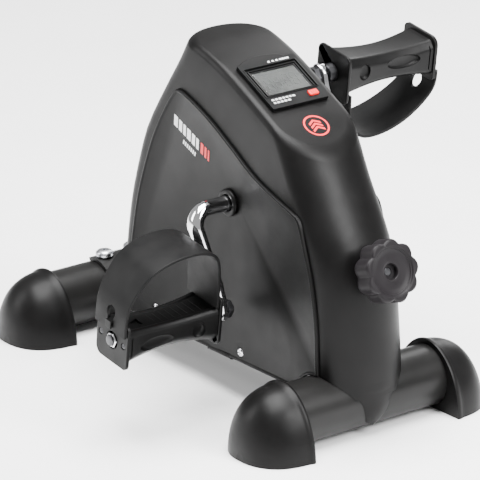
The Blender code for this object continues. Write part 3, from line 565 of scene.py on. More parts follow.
def side_point(station, height, inset):
    """(x, y) on the right-hand outline of the housing at one height."""
    kind, value = station
    half = HOUSING_HALF - inset
    front_root = smooth(FRONT_LINE, height) + COLUMN_REACH
    depth = smooth(REAR_DEPTH, height)
    rear_root = smooth(REAR_LINE, height) - depth
    if kind == "front":
        return half * math.sin(value), front_root - (COLUMN_REACH - inset) * math.cos(value)
    if kind == "side":
        return half, front_root + (rear_root - front_root) * value
    return half * math.cos(value), rear_root + (depth - inset) * math.sin(value)


def top_height(y, drop):
    return smooth(FACET_LINE, y) - drop


def edge_height(station, inset, drop):
    """Height at which the outline meets the sloping top."""
    low, high = 0.1, 0.3
    for _ in range(30):
        middle = (low + high) / 2
        if middle < top_height(side_point(station, middle, inset)[1], drop):
            low = middle
        else:
            high = middle
    return low


def housing_solid(bottom, inset, drop, radius, levels, turns):
    rings = []
    for level in range(levels):
        half_ring = []
        for station in STATIONS:
            top = edge_height(station, inset, drop) - radius
            height = bottom + (top - bottom) * level / levels
            half_ring.append((*side_point(station, height, inset), height))
        rings.append(half_ring)
    for turn in range(turns + 1):
        angle = math.pi / 2 * turn / turns
        pull = inset + radius * (1 - math.cos(angle))
        half_ring = []
        for station in STATIONS:
            top = edge_height(station, pull, drop)
            x, y = side_point(station, top - radius * (1 - math.sin(angle)), pull)
            half_ring.append((x, y, top_height(y, drop) - radius * (1 - math.sin(angle))))
        rings.append(half_ring)
    full = [ring + [(-x, y, z) for x, y, z in reversed(ring[1:-1])] for ring in rings]
    points, faces = loft(full, closed=False)
    count = len(full[0])
    for base in (0, len(points) - count):
        for index in range(count // 2):
            corners = [base + index, base + index + 1, base + (count - index - 1) % count,
                       base + (count - index) % count]
            faces.append(tuple(dict.fromkeys(corners)))
    return points, faces


tube_arc = arc((FRONT_Y, TUBE_Z), TUBE_RADIUS + GAP, 94, 16.5, 8)
COVER_POINTS = tube_arc + [
    (-0.045, 0.0337), (-0.045, 0.0325), (-0.012, 0.0325), (-0.012, 0.0337), (0.1015, 0.0337),
    (0.0985, 0.06), (0.0945, 0.083), (0.084, 0.13), (0.0725, 0.163), (0.057, 0.197),
    (0.0385, 0.226), (0.026, 0.241), (0.019, 0.243), (0.01, 0.2405), (-0.0035, 0.2355),
    (-0.0235, 0.2265), (-0.0495, 0.212), (-0.0805, 0.1945), (-0.126, 0.179), (-0.1325, 0.176),
    (-0.136, 0.1715), (-0.1395, 0.162), (-0.151, 0.1255), (-0.156, 0.09),
]
cover_outline = spline(COVER_POINTS, 5, sharp=(0, 8, 9, 10, 11, 12, 13), closed=True)
seat_place = along(KNOB_SEAT, KNOB_AXIS)
meter_place = Matrix.Translation(METER_CENTRE) @ Matrix.Rotation(METER_TILT, 4, "X")
front_tube_place = along((0, FRONT_Y, TUBE_Z), (1, 0, 0))
tube_cut = turned([(TUBE_RADIUS + GAP, -0.09), (TUBE_RADIUS + GAP, 0.09)], 96)

tools = [
    cut(tube_cut, front_tube_place),
    cut(housing_solid(0.0265, WALL, WALL * 1.12, 0.004, 10, 5)),
    cut(turned([(0.0093, -0.02), (0.0093, 0.02)], 48), seat_place),
    cut(plate(rectangle(0.041, 0.07, (0, 0.125)), 0.02, 0.062)),
    cut(plate(rectangle(0.0492, 0.0472), -0.02, 0.02), meter_place),
    cut(plate(rectangle(0.0554, 0.0534, radius=0.002), 0.0, 0.012), meter_place),
]
opening = offset(cover_outline, GAP)
for _, sign in SIDES:
    tools.append(cut(mirrored(prism(opening, 0.03, 0.045), sign)))
piece(
    "housing_shell", housing_solid(0.0335, 0, 0, EDGE_RADIUS, 18, 9), shell, "frame",
    ["housing_shroud"], tools=tools, angle=28,
)

LIP_LOW, LIP_HIGH, LIP_WRAP_TOP = 0.0078, 0.0535, 0.0365
LIP_RADIUS = 0.0279
LIP_MIDDLE_Y, LIP_BACK_Y = -0.158, -0.15
LIP_HALF_WIDTH = [
    (0.0078, 0.003), (0.01, 0.0098), (0.013, 0.015), (0.016, 0.0189), (0.023, 0.0262),
    (0.032, 0.0325), (0.0365, 0.035), (0.045, 0.0374), (0.0535, 0.038),
]
LIP_TUCK = [(0.0078, 0.0), (0.0265, 0.0), (0.045, 0.0003), (0.05, 0.0012), (0.0535, 0.003)]

lip_rings = []
for index in range(21):
    height = LIP_LOW + (LIP_HIGH - LIP_LOW) * (index / 20) ** 1.15
    half = smooth(LIP_HALF_WIDTH, height)
    drop = min(height - TUBE_Z, 0)
    tuck = smooth(LIP_TUCK, height)
    front = FRONT_Y - math.sqrt(LIP_RADIUS**2 - drop**2) + tuck
    if height > LIP_WRAP_TOP:
        front = smooth(FRONT_LINE, height) - 0.0003 + tuck
        half = min(half, HOUSING_HALF) - tuck * 0.6
    reach = LIP_MIDDLE_Y - front
    half_ring = [
        (half * math.sin(math.pi * step / 48), LIP_MIDDLE_Y - reach * math.cos(math.pi * step / 48), height)
        for step in range(-24, 25)
    ]
    lip_rings.append(half_ring + [(half, LIP_BACK_Y, height), (-half, LIP_BACK_Y, height)])
piece(
    "column_lip", loft(lip_rings), shell, "frame",
    tools=[cut(tube_cut, front_tube_place)], angle=38,
)

# (growth, x) steps of the panel's edge: the wall, the raised outline, and the dip to the flat field.
COVER_LEVELS = [
    (0.0, 0.037), (0.0, 0.0398), (-0.0001, 0.0402), (-0.0004, 0.0406), (-0.0009, 0.0408), (-0.0013, 0.04085),
    (-0.0018, 0.0408), (-0.0023, 0.0405), (-0.0027, 0.0401), (-0.0031, 0.0399),
]

for side, sign in SIDES:
    cover_rings = [
        [(sign * x, y, z) for y, z in (offset(cover_outline, grow) if grow else cover_outline)]
        for grow, x in COVER_LEVELS
    ]
    hub = along((0, CRANK_Y, CRANK_Z), (sign, 0, 0))
    cuts = [cut(turned([(0.0089, 0.03), (0.0089, 0.045)], 48), hub)]
    for y, z in SCREW_SPOTS:
        screw_place = along((0, y, z), (sign, 0, 0))
        cuts.append(cut(turned([(0.0042, 0.0386), (0.0042, 0.045)], 32), screw_place))
    piece(
        f"{side}_cover_panel", loft(cover_rings), cover, "frame", [f"{side}_side_cover"],
        tools=cuts, angle=32,
    )
    piece(
        f"{side}_hub_collar",
        sleeve([
            (0.0068, 0.0345), (0.0085, 0.0345), (0.0085, 0.04), (0.0108, 0.04), (0.0112, 0.0404),
            (0.0112, 0.042), (0.0109, 0.0428), (0.0102, 0.0433), (0.0092, 0.0434), (0.0078, 0.0433),
            (0.0072, 0.043), (0.0068, 0.0424),
        ], 64),
        rubber, "frame", [f"{side}_hub_ring"], hub, angle=50,
    )
    for number, (y, z) in enumerate(SCREW_SPOTS, 1):
        screw_place = along((0, y, z), (sign, 0, 0))
        piece(
            f"{side}_panel_screw_{number}",
            turned([(0.0019, 0.03), (0.0019, 0.0391), (0.0037, 0.0391), (0.0038, 0.0394), (0.0035, 0.04),
                    (0.0029, 0.0405), (0.002, 0.0408), (0.0008, 0.0409)], 36),
            chrome, "frame", [f"{side}_cover_screw_{number}"], screw_place,
            [cut(plate(rectangle(0.0044, 0.0009), 0.0399, 0.042), screw_place),
             cut(plate(rectangle(0.0009, 0.0044), 0.0399, 0.042), screw_place)],
            angle=30,
        )

# ---- knob and collar ----
piece(
    "collar_ring",
    sleeve([
        (0.0034, -0.01), (0.009, -0.01), (0.009, 0.0038), (0.0168, 0.0038), (0.0176, 0.0041),
        (0.0183, 0.0048), (0.0185, 0.0056), (0.0179, 0.008), (0.0174, 0.009), (0.0034, 0.0091),
    ], 80),
    dark_hole, "frame", ["knob_collar"], seat_place, angle=50,
)


def lobed(radius, height, lobes):
    """A ring with nine round lobes, fading to a circle as lobes goes to 0."""
    ring = []
    for step in range(216):
        turn = 2 * math.pi * step / 216
        wave = 0.5 + 0.5 * math.cos(9 * turn)
        reach = radius - lobes * 0.0029 * (1 - wave**0.55)
        ring.append((reach * math.cos(turn), reach * math.sin(turn), height))
    return ring


KNOB_SCALE = 0.944
# (radius, height, lobe depth), with radii before KNOB_SCALE
knob_steps = [
    (0.0034, 0.0094, 0), (0.012, 0.0094, 0), (0.0225, 0.0095, 0.9), (0.025, 0.0098, 1), (0.0262, 0.0108, 1),
    (0.0267, 0.0122, 1), (0.0268, 0.0136, 1), (0.0268, 0.025, 1), (0.0266, 0.0262, 1), (0.0261, 0.027, 1),
    (0.0253, 0.0275, 1), (0.024, 0.0277, 0.9), (0.0222, 0.0276, 0.25), (0.0208, 0.0275, 0),
    (0.0204, 0.0273, 0),
    (0.0202, 0.0268, 0), (0.0199, 0.0264, 0), (0.0192, 0.0263, 0), (0.0188, 0.0262, 0), (0.0186, 0.0257, 0),
    (0.0182, 0.0254, 0), (0.014, 0.025, 0), (0.0086, 0.0246, 0), (0.008, 0.0247, 0), (0.0074, 0.0249, 0),
    (0.0069, 0.0247, 0), (0.0067, 0.0242, 0), (0.0066, 0.023, 0), (0.0066, 0.0205, 0), (0.0034, 0.0204, 0),
]
piece(
    "knob_grip", ring_loft([lobed(r * KNOB_SCALE, z, lobes) for r, z, lobes in knob_steps]), knob_grey,
    "knob", ["tension_knob"], seat_place, angle=50,
)

# ---- crank ----
crank_place = Matrix.Translation((0, CRANK_Y, CRANK_Z)) @ Matrix.Rotation(-CRANK_LEAN, 4, "X")


def arm_steps():
    """(x, radius, half thickness, half width, squareness) from the axle out to the right arm's tip."""
    steps = [(0.05 * index / 6, 0.0, 0.0064, 0.0064, 2.0) for index in range(7)]
    run = Vector((0.0615 - 0.0785, 0.068))
    total = math.atan2(run.y, run.x)
    bend = 0.0125
    start = Vector((0.0785 - bend * math.tan(total / 2), 0))
    for index in range(31):
        blend = index / 30
        turn = total * blend
        spot = start + Vector((bend * math.sin(turn), bend * (1 - math.cos(turn))))
        ease = blend * blend * (3 - 2 * blend)
        steps.append((spot.x, spot.y, 0.0064 - 0.0012 * ease, 0.0064 + 0.0014 * ease, 2 + 0.5 * ease))
    corner = Vector((0.0785, 0))
    for portion in (0.4, 0.5, 0.6, 0.7, 0.8, 0.9):
        spot = corner + run * portion
        ease = (portion - 0.4) / 0.5
        steps.append((spot.x, spot.y, 0.0051 - 0.0009 * min(ease * 2, 1), 0.0079 + 0.0006 * min(ease * 2, 1),
                      2.5 + 0.9 * ease))
    steps.append((0.0622, 0.0705, 0.00422, 0.0085, 3.4))
    steps.append((0.0615, 0.0745, 0.00422, 0.0085, 3.4))
    for index in range(13):
        angle = math.pi / 2 * index / 12.6
        steps.append((
            0.0615, CRANK_LENGTH + 0.0095 * math.sin(angle), 0.00422 * (1 - 0.25 * (index / 12) ** 6),
            0.0085 * math.cos(angle), 3.4,
        ))
    return steps


right_half = arm_steps()
bar = [(-x, -r, *rest) for x, r, *rest in reversed(right_half)][:-1] + right_half
rings = []
for index, (x, r, thick, wide, square) in enumerate(bar):
    before, after = bar[max(index - 1, 0)], bar[min(index + 1, len(bar) - 1)]
    run = Vector((after[0] - before[0], after[1] - before[1])).normalized()
    side_way = Vector((-run.y, run.x))
    ring = []
    for step in range(40):
        turn = 2 * math.pi * step / 40
        c, s = math.cos(turn), math.sin(turn)
        lift = thick * math.copysign(abs(c) ** (2 / square), c)
        spread = wide * math.copysign(abs(s) ** (2 / square), s)
        ring.append((x + side_way.x * lift, spread, r + side_way.y * lift))
    rings.append(ring)
piece(
    "crank_bar", loft(rings), chrome, "crankset", ["crank"], crank_place,
    [cut(turned([(SPINDLE_BORE, 0.05), (SPINDLE_BORE, 0.072)], 40),
      crank_place @ along((0, 0, sign * CRANK_LENGTH), (sign, 0, 0))) for _, sign in SIDES],
    angle=48,
)

# ---- meter ----
def frame_ring(outer, inner, low, high, radius, centre):
    """A thin raised frame with rounded section between two rounded rectangles."""
    rings = []
    wide = (outer[0] - inner[0]) / 2
    for spread, height in ((0, low), (0, high - 0.0003), (0.12, high - 0.0001), (0.3, high), (0.7, high),
                           (0.88, high - 0.0001), (1, high - 0.0003), (1, low)):
        pull = 2 * wide * spread
        rings.append([(x, y, height) for x, y in rectangle(
            outer[0] - pull, outer[1] - pull, centre, max(radius - pull / 2, 0.0004), 4)])
    return ring_loft(rings)


arch = [(0.0236 * math.cos(math.pi * index / 32), 0.0262 + 0.0084 * math.sin(math.pi * index / 32))
        for index in range(33)]
piece(
    "meter_arch", plate([(0.0236, 0.018)] + arch + [(-0.0236, 0.018)], -0.0024, 0.0009), shell, "frame",
    place=meter_place, width=0.0006,
)
piece(
    "meter_body", plate(rectangle(0.055, 0.053, radius=0.0016), 0.0003, 0.0034), meter_black, "frame",
    ["meter_case"], meter_place,
    [
        ("UNION", plate(rectangle(0.0485, 0.0465), -0.0125, 0.001), meter_place),
        cut(plate(rectangle(0.0455, 0.0435), -0.02, 0.0006), meter_place),
        cut(plate(rectangle(0.0506, 0.0336, (0, 0.0035), 0.0012), 0.0022, 0.01), meter_place),
        cut(plate(rectangle(0.0414, 0.0271, (0.0003, 0.0023)), -0.005, 0.01), meter_place),
        cut(plate(rectangle(0.0096, 0.006, (0.0163, -0.0191), 0.0012), -0.005, 0.01), meter_place),
    ],
    width=0.0004,
)
for name, outer, inner, low, high, radius, centre in (
    ("meter_frame_outer", (0.0518, 0.0348), (0.05, 0.033), 0.0024, 0.004, 0.0014, (0, 0.0035)),
    ("meter_frame_inner", (0.0466, 0.0304), (0.0448, 0.0286), 0.0022, 0.0035, 0.0012, (0.0002, 0.0029)),
    ("lcd_surround", (0.044, 0.029), (0.0406, 0.0262), 0.001, 0.0027, 0.001, (0.0003, 0.0023)),
):
    piece(
        name, frame_ring(outer, inner, low, high, radius, centre), meter_black, "frame",
        place=meter_place, angle=40,
    )
piece(
    "lcd_glass", plate(rectangle(0.0408, 0.0264, (0.0003, 0.0023), 0.0006), -0.001, 0.0019), lcd, "frame",
    ["lcd_panel"], meter_place, width=0.0001, segments=2,
)
piece(
    "window_pane", plate(rectangle(0.0404, 0.026, (0.0003, 0.0023), 0.0006), 0.00225, 0.0025), glass, "frame",
    ["meter_window"], meter_place, width=0.00008, segments=2,
)


def seven_segments(x, y, wide, tall, bar_width, lean):
    """Bar outlines of one numeral cell; lean shifts x with height."""
    half, gap = bar_width / 2, bar_width * 0.18
    middle = y + tall / 2
    across = {"a": y + tall - half, "g": middle, "d": y + half}
    upright = {"f": (x + half, middle, y + tall), "b": (x + wide - half, middle, y + tall),
               "e": (x + half, y, middle), "c": (x + wide - half, y, middle)}
    outlines = []
    for key in "abcdefg":
        if key in across:
            z = across[key]
            left, right = x + half + gap, x + wide - half - gap
            bar_points = [(left, z), (left + half, z - half), (right - half, z - half), (right, z),
                          (right - half, z + half), (left + half, z + half)]
        else:
            z, low, high = upright[key]
            low, high = low + gap + (half if low == y else 0), high - gap - (half if high > middle else 0)
            bar_points = [(z, low), (z + half, low + half), (z + half, high - half), (z, high),
                          (z - half, high - half), (z - half, low + half)]
        outlines.append([(px + (py - y) * lean, py) for px, py in bar_points])
    return outlines


SEGMENT_LOW, SEGMENT_HIGH, SEGMENT_LEAN = 0.00188, 0.002, 0.1
digit_shapes = []
for x in (-0.0158, -0.008, 0.0016, 0.0094):
    for outline in seven_segments(x, -0.0058, 0.0064, 0.015, 0.0015, SEGMENT_LEAN):
        digit_shapes.append(plate(outline, SEGMENT_LOW, SEGMENT_HIGH))
for y in (-0.0012, 0.0042):
    dot = rectangle(0.001, 0.001, (-0.0002 + (y + 0.0058) * SEGMENT_LEAN, y))
    digit_shapes.append(plate(dot, SEGMENT_LOW, SEGMENT_HIGH))
for x in (-0.017, -0.0108, -0.0046, 0.0016, 0.0078):
    digit_shapes.append(plate(rectangle(0.0042, 0.0011, (x + 0.0045, 0.0127)), SEGMENT_LOW, SEGMENT_HIGH))
piece("lcd_segments", joined(*digit_shapes), segment, "frame", place=meter_place)

tick_shapes = []


def tick(wide, tall, x, y):
    tick_shapes.append(plate(rectangle(wide, tall, (x, y)), 0.00335, 0.0035))


for x in (0.0012, 0.0052, 0.009, 0.0126, 0.015, 0.0174, 0.0198):
    tick(0.0012, 0.0014, x, 0.0232)
    tick(0.0005, 0.0021, x + 0.001, 0.0232)
for row_y, spans in ((-0.0172, (2.4, 2.2, 2.6, 2.0, 2.4, 1.8, 2.6)), (-0.0206, (2.0, 2.6, 2.2, 2.4, 2.6))):
    x = -0.0228
    for span in spans:
        for part in range(3):
            tick(span / 1000 * (0.16 if part % 2 else 0.24), 0.0018, x + span / 1000 * (0.12 + 0.34 * part),
                 row_y)
            tick(span / 1000 * 0.34, 0.0004, x + span / 1000 * (0.2 + 0.3 * part),
                 row_y + (0.0007 if part % 2 else -0.0007))
        x += span / 1000 + 0.0011
piece("meter_ticks", joined(*tick_shapes), white_print, "frame", place=meter_place)

button_place = meter_place @ Matrix.Translation((0.0163, -0.0191, 0))
button_steps = [(0, -0.0022), (0, 0.004), (0.0001, 0.0044), (0.0003, 0.0047), (0.0007, 0.0048)]
button_shape = loft([
    [(x, y, z) for x, y in rectangle(0.0088 - 2 * pull, 0.0052 - 2 * pull, radius=0.0009, steps=4)]
    for pull, z in button_steps
])
piece(
    "button_cap", button_shape, red_button, "button", ["mode_button"], button_place,
    [cut(plate(rectangle(0.0004, 0.0034, (x, 0)), 0.00455, 0.006), button_place)
     for x in (-0.0022, 0.0, 0.0022)],
    angle=50,
)

# ---- printed marks ----
BADGE_Y = -0.1067
FACET_SLOPE = math.radians(32.5)
BADGE_LIFT, BADGE_DEPTH = 0.00014, 0.0004
PRINT_BACK, PRINT_FACE = -0.0397, -0.04005


def on_facet(shape_points):
    """Both faces of a thin solid on the sloping top; v of (x, v) runs up it from the badge centre."""
    run = math.cos(FACET_SLOPE)
    low, high = [], []
    for x, v in shape_points:
        y = BADGE_Y + v * run
        z = top_height(y, 0)
        high.append((x, y, z + BADGE_LIFT))
        low.append((x, y, z - BADGE_DEPTH))
    return low, high


def facet_band(outer, inner):
    low_out, high_out = on_facet(outer)
    low_in, high_in = on_facet(inner)
    return ring_loft([low_out, high_out, high_in, low_in])


badge = [facet_band(ellipse((0, 0), 0.011, 0.011, 64), ellipse((0, 0), 0.0094, 0.0094, 64))]
for shift in (-0.0036, 0.0, 0.0036):
    chevron = [(-0.0055, shift - 0.0026), (0.0, shift + 0.0008), (0.0055, shift - 0.0026),
               (0.0055, shift - 0.0004), (0.0, shift + 0.003), (-0.0055, shift - 0.0004)]
    low_side, high_side = on_facet(chevron)
    badge.append(loft([low_side, high_side]))
piece("badge_mark", joined(*badge), red_print, "frame")

row_start, row_way = Vector((0.0262, 0.2162)), Vector((-0.922, -0.388)).normalized()
row_up = Vector((row_way.y, -row_way.x))
for name, surface, bars in (
    ("panel_stripes_white", white_print,
     [(0.0, 5.2, 8.6), (7.0, 4.4, 8.6), (13.2, 3.6, 8.6), (18.6, 5.2, 8.6), (25.6, 4.4, 8.6),
      (31.8, 3.6, 8.6)]),
    ("panel_stripes_red", red_print, [(38.4, 3.6, 8.6), (43.8, 2.8, 8.6), (48.4, 2.0, 8.6)]),
):
    shapes = []
    for start, wide, tall in bars:
        outline = [(start, 0), (start + wide, 0), (start + wide - 2.6, tall), (start - 2.6, tall)]
        spots = [row_start + row_way * u / 1000 - row_up * (tall / 2 - v) / 1000 for u, v in
                 fillet(outline, 0.5, 3)]
        shapes.append(prism([tuple(spot) for spot in spots], PRINT_BACK, PRINT_FACE))
    piece(name, joined(*shapes), surface, "frame")
small = []
for index in range(7):
    spot = Vector((0.015, 0.2006)) + row_way * 0.0027 * index
    corners = [(-0.7, -1.7), (0.9, -1.7), (0.7, 1.7), (-0.9, 1.7)]
    spots = [spot + row_way * u / 1000 + row_up * v / 1000 for u, v in corners]
    small.append(prism([tuple(point) for point in spots], PRINT_BACK, PRINT_FACE))
piece("panel_ticks_white", joined(*small), white_print, "frame")

# ---- pedals ----
STRAP_POINTS = {
    "left": [
        (0.1666, 0.01, 0.02), (0.1666, 0.02, 0.02), (0.1658, 0.029, 0.0202), (0.1632, 0.0385, 0.0206),
        (0.158, 0.048, 0.0214), (0.151, 0.057, 0.0224), (0.143, 0.0632, 0.0232), (0.131, 0.0678, 0.0237),
        (0.118, 0.07, 0.0238), (0.1055, 0.0701, 0.0238), (0.0965, 0.0684, 0.0236), (0.0888, 0.0648, 0.0232),
        (0.0838, 0.059, 0.0226), (0.0812, 0.05, 0.0218), (0.0798, 0.04, 0.021), (0.0788, 0.025, 0.0204),
        (0.0786, 0.015, 0.02),
    ],
    "right": [
        (0.1666, 0.01, 0.02), (0.1666, 0.017, 0.02), (0.165, 0.0235, 0.0202), (0.1608, 0.0295, 0.0205),
        (0.1545, 0.035, 0.021), (0.146, 0.0405, 0.0218), (0.136, 0.0456, 0.0226), (0.124, 0.0498, 0.0232),
        (0.112, 0.0523, 0.0235), (0.101, 0.053, 0.0235), (0.0925, 0.0517, 0.0232), (0.0862, 0.0478, 0.0226),
        (0.082, 0.0415, 0.0218), (0.0798, 0.0335, 0.021), (0.0788, 0.024, 0.0204), (0.0786, 0.015, 0.02),
    ],
}
OUTER_OUTLINE = (
    [(-0.0205, 0.016)] + arc((-0.016, -0.0145), 0.0045, 180, 270, 8)
    + arc((0.013, -0.0115), 0.0075, 270, 360, 12) + [(0.0205, 0.016), (0.0187, 0.0185), (-0.0187, 0.0185)]
)
INNER_OUTLINE = (
    arc((-0.015, -0.0135), 0.0055, 180, 270, 10) + arc((0.015, -0.0135), 0.0055, 270, 360, 10)
    + arc((0.0157, 0.0177), 0.0048, 0, 90, 8) + arc((-0.0157, 0.0177), 0.0048, 90, 180, 8)
)


def body_section(waist):
    """The pedal body's rounded cross-section as (y, z): walls, raised tread borders and a sunk tread."""
    deep = 0.019 - 0.003 * waist
    top = 0.0135 - 0.003 * waist
    low = -0.016 + 0.004 * waist
    corners = [
        (-deep, low + 0.006), (-deep + 0.005, low), (deep - 0.005, low), (deep, low + 0.006),
        (deep, top - 0.003), (deep - 0.0026, top), (deep - 0.0056, top - 0.0002),
        (deep - 0.0068, top - 0.0013), (-deep + 0.0068, top - 0.0013), (-deep + 0.0056, top - 0.0002),
        (-deep + 0.0026, top), (-deep, top - 0.003),
    ]
    return fillet(corners, 0.0022, 4)


def bowl(centre, wide, tall, front):
    """A cutter for a recess with sloping walls and a flat bottom on the pedal's front or rear face."""
    rings = []
    for depth, scale in (
        (0.025, 1.06), (0.0185, 1.04), (0.0168, 1.0), (0.0154, 0.93), (0.0146, 0.8), (0.0142, 0.62)
    ):
        rings.append([(x, front * depth, z) for x, z in ellipse(centre, wide * scale, tall * scale, 40)])
    return loft(rings)


STRAP_THICKNESS = 0.0024


def strap_ring(a, b, side_way, wide):
    """A rounded strip section across the pedal at (|x|, z) = (a, b)."""
    section = rectangle(2 * wide, STRAP_THICKNESS, radius=0.0007)
    return [(a + side_way.x * up, across, b + side_way.y * up) for across, up in section]


for side, sign, turn in (("left", -1, PEDAL_TILT), ("right", 1, PEDAL_TILT + math.pi)):
    rider = f"{side}_pedal"
    axle_spot = crank_place @ Vector((0, 0, sign * CRANK_LENGTH))
    place = Matrix.Translation(axle_spot) @ Matrix.Rotation(turn, 4, "X")
    axle = Matrix.Translation(axle_spot) @ along((0, 0, 0), (sign, 0, 0))
    bore = cut(turned([(SPINDLE_BORE, 0.04), (SPINDLE_BORE, 0.18)], 40), axle)

    body_inner, body_outer = PEDAL_INNER + PEDAL_PLATE + GAP, PEDAL_OUTER - PEDAL_PLATE - GAP
    rings = []
    for index in range(45):
        portion = index / 44
        waist = math.sin(math.pi * portion) ** 0.9 if 0 < portion < 1 else 0
        x = body_inner + (body_outer - body_inner) * portion
        rings.append([(sign * x, y, z) for y, z in body_section(waist)])
    cuts = [bore]
    for front in (-1, 1):
        cuts.append(cut(mirrored(bowl((0.133, -0.0032), 0.0165, 0.0058, front), sign), place))
        cuts.append(cut(mirrored(bowl((0.0935, -0.0022), 0.0058, 0.0068, front), sign), place))
        groove = [(0.1582, front * 0.0164), (0.1592, front * 0.0164), (0.1592, front * 0.023),
                  (0.1582, front * 0.023)]
        cuts.append(cut(mirrored(plate(groove, -0.013, 0.008), sign), place))
    notch = [(0.14, -0.006), (0.15, -0.0005), (0.14, 0.005)]
    cuts.append(cut(mirrored(plate(notch, 0.008, 0.02), sign), place))
    piece(
        f"{side}_tread_body", loft(rings), pp, rider, [f"{side}_pedal_body"], place, cuts,
        angle=40,
    )
    ribs = []
    for index in range(8):
        x = 0.0862 + 0.006 * index
        waist = math.sin(math.pi * (x - body_inner) / (body_outer - body_inner)) ** 0.9
        deep, top = 0.019 - 0.003 * waist, 0.0135 - 0.003 * waist
        rib = fillet([(-0.0007, -0.0006), (0.0007, -0.0006), (0.0006, 0.0001), (-0.0006, 0.0001)], 0.0002, 2)
        ends = [
            [(sign * (x + a), y, top - 0.0013 + b) for a, b in rib] for y in (-deep + 0.0078, deep - 0.0078)
        ]
        ribs.append(loft(ends))
    piece(f"{side}_tread_ribs", joined(*ribs), pp, rider, place=place, angle=40)

    piece(
        f"{side}_inner_flange", mirrored(prism(INNER_OUTLINE, PEDAL_INNER, PEDAL_INNER + PEDAL_PLATE), sign),
        pp, rider, [f"{side}_pedal_inner_plate"], place, [bore], width=0.0009,
    )
    hook = [
        (PEDAL_OUTER - 0.001, 0.015), (PEDAL_OUTER + 0.0034, 0.015), (PEDAL_OUTER + 0.0034, 0.012),
        (PEDAL_OUTER + 0.005, 0.012), (PEDAL_OUTER + 0.005, 0.0185), (PEDAL_OUTER - 0.001, 0.0185),
    ]
    hook_shape = loft([[(sign * x, y, z) for x, z in hook] for y in (-0.0035, 0.0035)])
    screw_wells = []
    for y in (-0.015, 0.015):
        well = prism(ellipse((y, 0.001), 0.0027, 0.0027, 28), PEDAL_OUTER - 0.0009, 0.172)
        screw_wells.append(cut(mirrored(well, sign), place))
    piece(
        f"{side}_outer_flange", mirrored(prism(OUTER_OUTLINE, PEDAL_OUTER - PEDAL_PLATE, PEDAL_OUTER), sign),
        pp, rider, [f"{side}_pedal_outer_plate"], place,
        [("UNION", hook_shape, place), cut(turned([(0.0072, 0.15), (0.0072, 0.172)], 48), axle)]
        + screw_wells,
        width=0.0006,
    )
    for label, y in (("front", -0.015), ("rear", 0.015)):
        spot = place @ along((sign * (PEDAL_OUTER - 0.0009), y, 0.001), (sign, 0, 0))
        slot_cut = plate(rectangle(0.003, 0.0006), 0.0003, 0.002)
        piece(
            f"{side}_flange_screw_{label}",
            turned([(0.0022, -0.0008), (0.0022, 0.0003), (0.0019, 0.0006), (0.0012, 0.0008)], 28),
            blackened, rider,
            place=spot, tools=[cut(slot_cut, spot)], angle=35,
        )
    piece(
        f"{side}_axle_pin",
        turned([
            (0.004, 0.05), (0.0045, 0.0505), (0.0045, 0.0661), (0.0074, 0.0661), (0.0078, 0.0664),
            (0.0078, 0.0727), (0.0074, 0.0732), (0.0045, 0.0732), (0.0045, 0.1671), (0.0041, 0.1677),
            (0.003, 0.168),
        ], 48),
        blackened, "crankset", [f"{side}_pedal_spindle"], axle, angle=32,
    )
    piece(
        f"{side}_lock_nut",
        turned([(0.0068, 0.052), (0.0076, 0.0523), (0.008, 0.0529), (0.008, 0.0568), (0.0077, 0.057)], 6),
        blackened, "crankset", [f"{side}_arm_nut"], axle, [bore], angle=25, width=0.0003,
    )
    piece(
        f"{side}_end_nut",
        turned([(0.0066, 0.1617), (0.0066, 0.1651), (0.0063, 0.1658), (0.0056, 0.1663)], 6), chrome, rider,
        [f"{side}_spindle_nut"], axle, [bore], angle=20, width=0.0003,
    )

    path = spline(STRAP_POINTS[side], 6)
    strap_rings = []
    for index, (a, b, wide) in enumerate(path):
        before, after = path[max(index - 1, 0)], path[min(index + 1, len(path) - 1)]
        run = Vector((after[0] - before[0], after[1] - before[1])).normalized()
        ring = strap_ring(a, b, Vector((-run.y, run.x)), wide)
        strap_rings.append([(sign * x, y, z) for x, y, z in ring])
    keyhole = (
        [(-0.0038, 0.0135), (0.0038, 0.0135), (0.0038, 0.021)] + arc((0, 0.025), 0.0055, -40, 220, 32)
        + [(-0.0038, 0.021)]
    )
    piece(
        f"{side}_strap_band", loft(strap_rings), vinyl, rider, [f"{side}_pedal_strap"], place,
        [cut(mirrored(prism(keyhole, 0.15, 0.176), sign), place)], angle=40,
    )

# ---- CAD nodes shown as they are, with finished edges and materials ----
KEPT = {
    "left_upright": (paint, 0.0004), "right_upright": (paint, 0.0004), "left_bearing": (bronze, 0.0002),
    "right_bearing": (bronze, 0.0002), "band_anchor_bolt": (zinc, 0.0003), "brake_wheel": (iron, 0.0004),
    "wheel_magnet": (zinc, 0.0003), "brake_band": (band, 0.0002), "tension_slider": (zinc, 0.0002),
    "tension_screw": (blackened, 0.0002), "meter_board": (board, 0.0002), "button_cell": (zinc, 0.0003),
    "speed_sensor": (pp, 0.0002), "sensor_cable": (rubber, 0.0),
}
for name, (surface, width) in KEPT.items():
    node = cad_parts[name]
    node.data.materials.clear()
    node.data.materials.append(surface.material)
    weld = node.modifiers.new("weld", "WELD")
    weld.merge_threshold = 0.00001
    if width:
        edge = node.modifiers.new("edge", "BEVEL")
        edge.width, edge.segments, edge.limit_method = width, 2, "ANGLE"
        edge.angle_limit = math.radians(40)

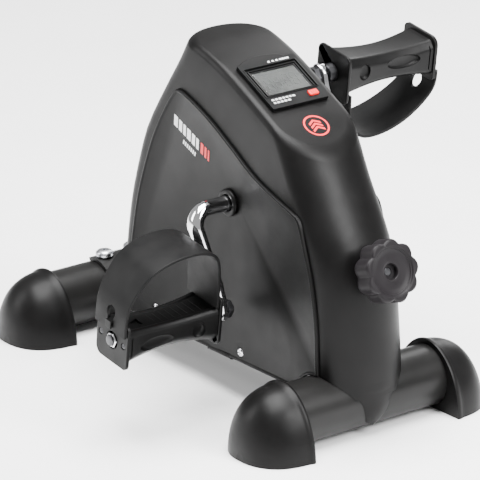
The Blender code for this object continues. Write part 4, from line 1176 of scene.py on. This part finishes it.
# ---- floor, light and camera ----
floor_surface = Surface("pale_floor", 0.6)
floor_surface.colour(floor_surface.noise(2.5, 4), (0.9, 0.9, 0.9), (0.93, 0.93, 0.93))
floor_surface.rough(floor_surface.noise(8, 4), 0.55, 0.7)
floor = mesh_object("floor", ([(-12, -12, 0), (12, -12, 0), (12, 12, 0), (-12, 12, 0)], [(0, 1, 2, 3)]))
floor.location.z = -0.0001
floor.data.materials.append(floor_surface.material)
floor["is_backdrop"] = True

world = bpy.data.worlds.new("studio")
bpy.context.scene.world = world
world.use_nodes = True
world.node_tree.nodes["Background"].inputs["Color"].default_value = (1, 1, 1, 1)
world.node_tree.nodes["Background"].inputs["Strength"].default_value = 0.5

for name, azimuth, elevation, distance, wide, tall, power in (
    ("front_box", 16, 34, 1.7, 0.55, 0.85, 48),
    ("top_box", -20, 84, 2.0, 1.6, 1.6, 230),
    ("rear_left_box", -128, 26, 1.8, 0.5, 1.2, 22),
    ("rear_right_box", 118, 30, 1.9, 0.5, 1.2, 18),
):
    lamp = bpy.data.lights.new(name, "AREA")
    lamp.shape, lamp.size, lamp.size_y, lamp.energy = "RECTANGLE", wide, tall, power
    holder = bpy.data.objects.new(name, lamp)
    a, e = math.radians(azimuth), math.radians(elevation)
    way = Vector((math.sin(a) * math.cos(e), -math.cos(a) * math.cos(e), math.sin(e)))
    holder.location = Vector((0, 0, 0.13)) + way * distance
    holder.rotation_euler = (-way).to_track_quat("-Z", "Y").to_euler()
    bpy.context.scene.collection.objects.link(holder)

camera = bpy.data.cameras.new("camera")
camera.lens, camera.sensor_width = 297.98, 36
camera.clip_start, camera.clip_end = 0.1, 40
camera.dof.use_dof = False
viewer = bpy.data.objects.new("camera", camera)
target, distance = Vector((0.00497, 0.00272, 0.11088)), 3.214
azimuth, elevation, roll = (math.radians(angle) for angle in (-36.3258, 19.6101, -0.962))
level = math.cos(elevation)
back = Vector((math.sin(azimuth) * level, -math.cos(azimuth) * level, math.sin(elevation)))
right = Vector((math.cos(azimuth), math.sin(azimuth), 0))
up = back.cross(right)
turned_right = right * math.cos(roll) + up * math.sin(roll)
turned_up = up * math.cos(roll) - right * math.sin(roll)
spin = Matrix((turned_right, turned_up, back)).transposed().to_4x4()
viewer.matrix_world = Matrix.Translation(target + back * distance) @ spin
bpy.context.scene.collection.objects.link(viewer)
bpy.context.scene.camera = viewer

bpy.context.view_layer.update()
low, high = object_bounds()
